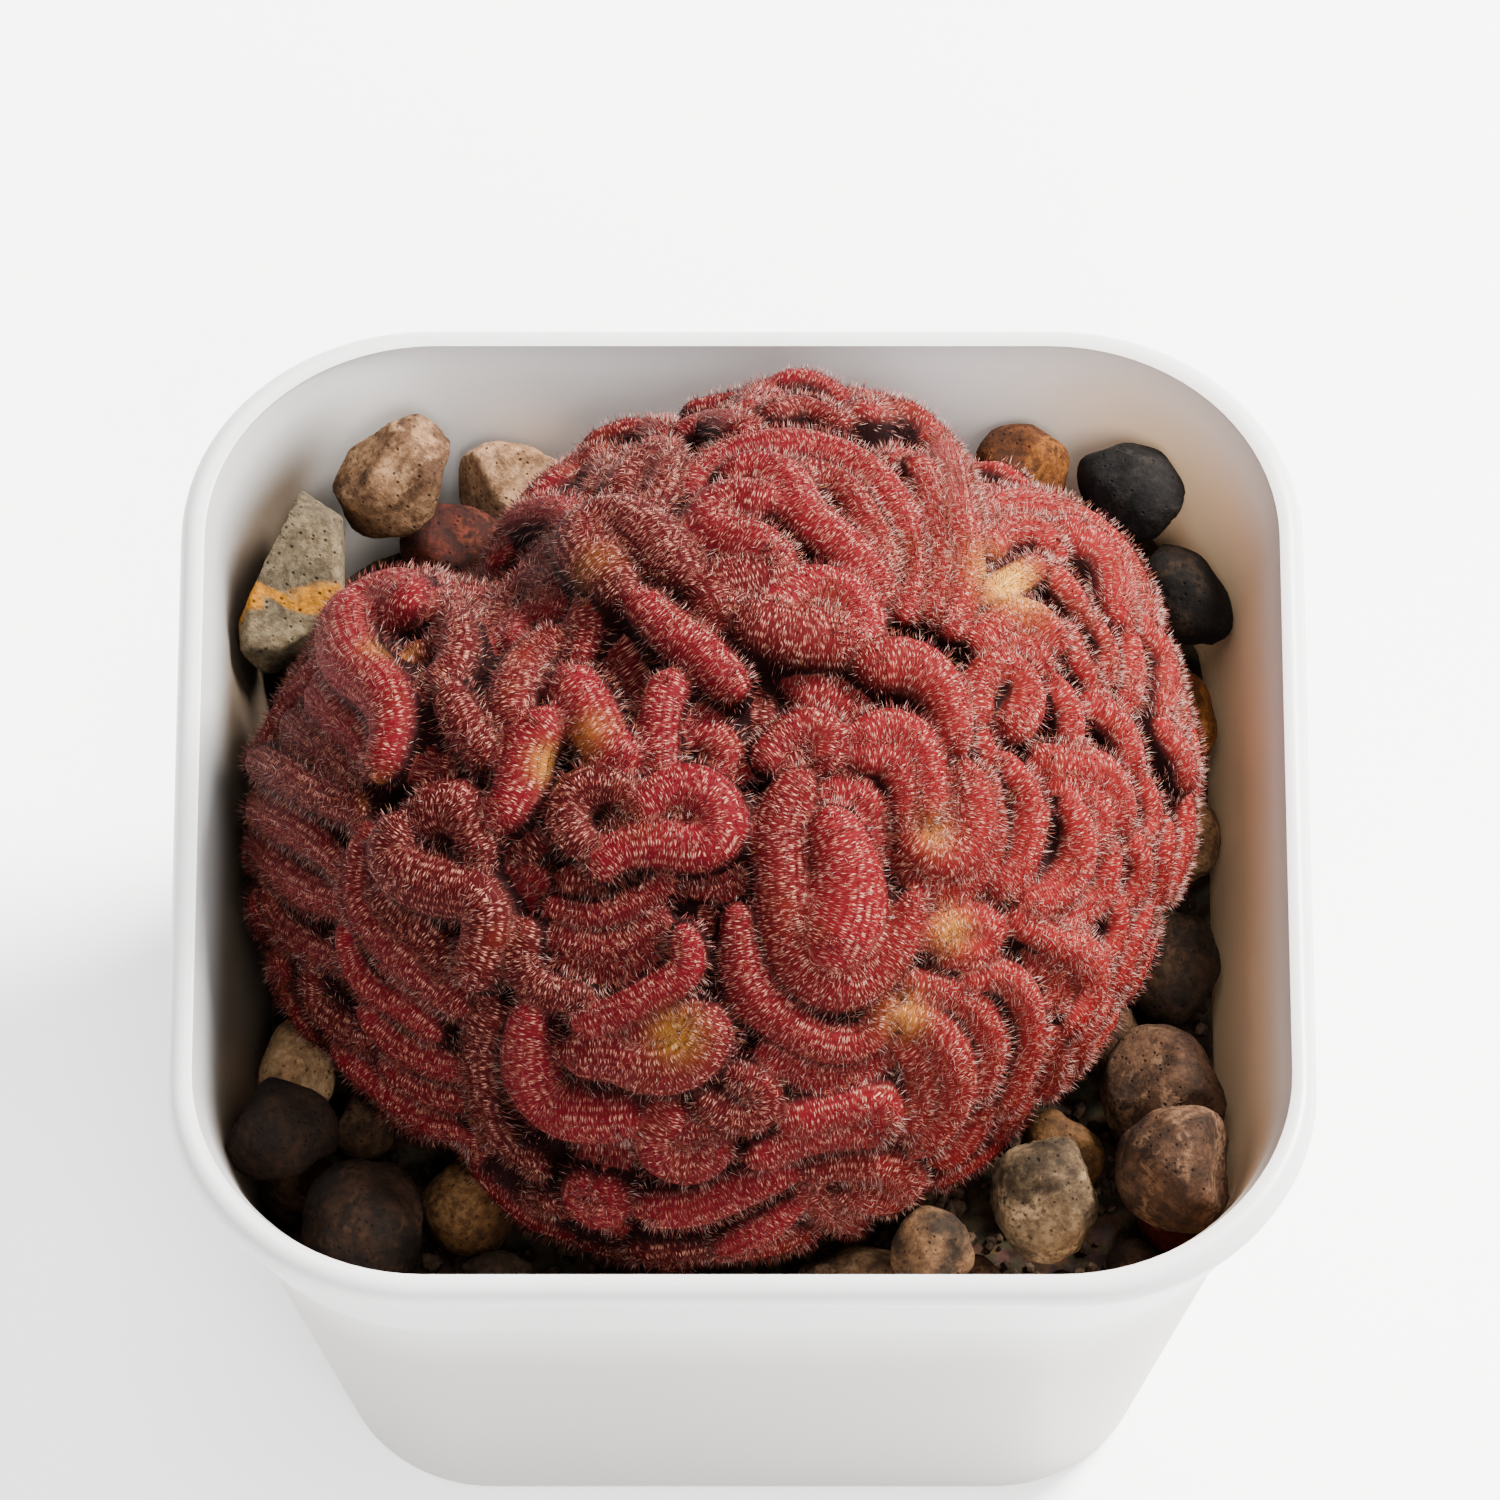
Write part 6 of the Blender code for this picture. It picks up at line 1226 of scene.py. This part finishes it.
def seat_hairs(obj, roots, ways):
    """Snap roots to the skin; keep those above the soil that point out of it with room in front. Returns
    indices, roots, ways.
    """
    graph = bpy.context.evaluated_depsgraph_get()
    skin = BVHTree.FromObject(obj, graph)
    kept, seats, aims = [], [], []
    for i, root in enumerate(roots):
        spot, normal, _, _ = skin.find_nearest(Vector(root) * MM, HAIR_REACH * MM)
        if spot is None or spot.z < (SOIL_TOP + 1.5) * MM:
            continue
        aim = (normal * HAIR_RISE + Vector(ways[i])).normalized()
        if aim.dot(normal) < 0.2:
            continue
        start = spot + normal * 0.05 * MM
        if skin.ray_cast(start, aim, HAIR_ROOM * MM)[0] is not None:
            continue
        kept.append(i)
        seats.append(spot / MM - normal * HAIR_SINK)
        aims.append(aim)
    return np.array(kept), np.array(seats), np.array(aims)


def spikes(name, roots, aims, lengths, base):
    """One object of closed four-faced spikes."""
    count = len(roots)
    helper = np.where(np.abs(aims[:, 2:3]) < 0.9, [[0.0, 0.0, 1.0]], [[1.0, 0.0, 0.0]])
    u = np.cross(aims, helper)
    u /= np.linalg.norm(u, axis=1)[:, None]
    v = np.cross(aims, u)
    corners = []
    for k in range(3):
        turn = 2 * math.pi * k / 3
        corners.append(roots + (u * math.cos(turn) + v * math.sin(turn)) * base)
    tips = roots + aims * lengths[:, None]
    verts = np.stack(corners + [tips], axis=1).reshape(-1, 3) * MM
    pattern = np.array([[0, 2, 1], [0, 1, 3], [1, 2, 3], [2, 0, 3]]).ravel()
    loops = (np.arange(count)[:, None] * 4 + pattern[None]).ravel()
    mesh = bpy.data.meshes.new(name)
    mesh.vertices.add(count * 4)
    mesh.vertices.foreach_set("co", verts.ravel())
    mesh.loops.add(count * 12)
    mesh.loops.foreach_set("vertex_index", loops)
    mesh.polygons.add(count * 4)
    mesh.polygons.foreach_set("loop_start", np.arange(0, count * 12, 3))
    mesh.update(calc_edges=True)
    strip = np.empty((count, 4, 2))
    strip[:, :, 0] = np.random.default_rng(count).uniform(0.01, 0.99, count)[:, None]
    strip[:, :, 0] += np.array([-1, 0, 1, 0]) * HAIR_STRIP
    strip[:, :, 1] = (0.02, 0.02, 0.02, 0.98)
    corners = strip.reshape(-1, 2)[loops]
    mesh.uv_layers.new(name="OFBake").data.foreach_set("uv", corners.ravel())
    return link(name, mesh, smooth=False)


def hair_look(name, root, tip):
    """Hair that pales from its root to its tip, its darker root painted shade near the skin; each one a
    little different.
    """
    look, tree, shader = material(name)
    strip = add(tree, "UVMap", uv_map="OFBake").outputs["UV"]
    place = add(tree, "SeparateXYZ", {"Vector": strip})
    own = add(tree, "TexNoise", {"W": place.outputs["X"], "Scale": 90.0, "Detail": 2.0},
              noise_dimensions="1D").outputs["Fac"]
    colour = mix(tree, ramp(tree, place.outputs["Y"], 0.0, 0.75), root, tip)
    colour = mix(tree, ramp(tree, own, 0.62, 0.35), colour, (0.55, 0.50, 0.48), "MULTIPLY")
    tree.links.new(colour, shader.inputs["Base Color"])
    shader.inputs["Roughness"].default_value = 0.55
    shader.inputs["Specular IOR Level"].default_value = 0.15
    return look


rows = hair_roots(table, 3)
tips = tip_hairs(folds, 6)
roots, ways, lengths, angles = [np.concatenate(pair) for pair in zip(rows, tips)]
kept, seats, aims = seat_hairs(crest, roots, ways)
draw = np.random.default_rng(4)
hidden = (seats[:, 1] > HIDDEN_FROM) | (seats[:, 2] < LOW_HAIRS)
odds = np.where(hidden, HIDDEN_SHARE, 1.0) * np.where(angles[kept] < BACK_ANGLE, TOP_SHARE, 1.0)
odds *= draw.random(len(kept))
chosen = np.sort(np.argsort(-odds)[:HAIR_COUNT])
seats, aims, kept = seats[chosen], aims[chosen], kept[chosen]
lengths, angles = lengths[kept], angles[kept]
# Pale hairs more often on the right: partly their own spread, partly painted light from the right
chance = draw.random(len(kept)) - PALER_RIGHT_TONE_AND_LIGHT * np.clip(seats[:, 0] / DOME_RADII[0], -1, 1)
ridge, back, fringe = angles < RIDGE_ANGLE, angles < BACK_ANGLE, angles > FRINGE_ANGLE
# Shares of the kinds of hair in their order, each added to those before it
# The fringe, low in the creases, takes the most dark umber hairs: painted shade there
SHARES = {"ridge": (0.26, 0.66, 0.88, 0.95), "back": (0.12, 0.42, 0.78, 0.84),
          "flank": (0.28, 0.55, 0.75, 0.81), "fringe": (0.22, 0.40, 0.54, 0.58)}
kinds = np.zeros(len(kept), dtype=int)
for name, spot in (("ridge", ridge), ("back", back & ~ridge), ("fringe", fringe),
                   ("flank", ~(back | fringe))):
    kinds[spot] = np.searchsorted(SHARES[name], chance[spot])
for index, (kind, (root, tip)) in enumerate(HAIR_KINDS.items()):
    chosen = np.flatnonzero(kinds == index)[:PIECE_HAIRS]
    hairs = spikes("crest_hair_" + kind, seats[chosen], aims[chosen], lengths[chosen], HAIR_BASE)
    hairs.data.materials.append(hair_look("hair_" + kind, root, tip))
    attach(hairs, "root")


# Stage: a plain pale floor, soft studio light and the camera of the photograph
bpy.ops.mesh.primitive_plane_add(size=8.0, location=(0, 0, -0.0004))
floor = bpy.context.object
floor.name = "floor"
PAPER_TONES = (0.95, 0.95, 0.95), (0.97, 0.97, 0.97)
PAPER_GLOW = 1.0              # keeps the paper pale all over
SKY_STRENGTH = 0.66
paper, tree, shader = material("studio_paper")
place = add(tree, "TexCoord").outputs["Object"]
fibre = add(tree, "TexNoise", {"Vector": place, "Scale": 300.0, "Detail": 2.0}).outputs["Fac"]
tree.links.new(mix(tree, fibre, *PAPER_TONES), shader.inputs["Base Color"])
shader.inputs["Roughness"].default_value = 0.9
shader.inputs["Emission Color"].default_value = (1.0, 1.0, 1.0, 1)
shader.inputs["Emission Strength"].default_value = PAPER_GLOW
floor.data.materials.append(paper)

world = bpy.data.worlds.new("studio")
bpy.context.scene.world = world
world.use_nodes = True
world.node_tree.nodes["Background"].inputs["Color"].default_value = (1.0, 1.0, 1.0, 1)
world.node_tree.nodes["Background"].inputs["Strength"].default_value = SKY_STRENGTH

# Softboxes: name, place, aim, size, power, colour
LAMPS = [
    ("key", (0.68, 0.44, 0.88), (0, 0, 0.05), 0.42, 96.0, (1.0, 0.98, 0.95)),
    ("front", (0.25, -0.9, 0.95), (0, 0, 0.04), 0.6, 16.0, (1.0, 1.0, 1.0)),
    ("top", (0.0, -0.2, 1.3), (0, 0, 0.05), 0.5, 8.0, (1.0, 1.0, 1.0)),
]
for name, spot, aim, size, power, colour in LAMPS:
    lamp = bpy.data.lights.new(name, "AREA")
    lamp.shape = "DISK"
    lamp.size = size
    lamp.energy = power
    lamp.color = colour
    holder = bpy.data.objects.new(name, lamp)
    holder.location = spot
    holder.rotation_euler = (Vector(aim) - Vector(spot)).to_track_quat("-Z", "Y").to_euler()
    bpy.context.scene.collection.objects.link(holder)

CAMERA_AIM = (0.63, 4.59, 54.1)
PICTURE_WIDTH = 1500.0        # of the photograph, in pixels
PICTURE_FOCUS = 14048.0       # its focal length, in the same pixels
eye = bpy.data.cameras.new("eye")
eye.sensor_width = 36.0
eye.lens = eye.sensor_width * PICTURE_FOCUS / PICTURE_WIDTH
eye.clip_end = 20.0
camera = bpy.data.objects.new("eye", eye)
out = view_axes()[2]
camera.location = (Vector(CAMERA_AIM) + out * VIEW_DISTANCE) * MM
camera.rotation_euler = (math.pi / 2 - VIEW_ELEVATION, 0.0, 0.0)
bpy.context.scene.collection.objects.link(camera)
bpy.context.scene.camera = camera
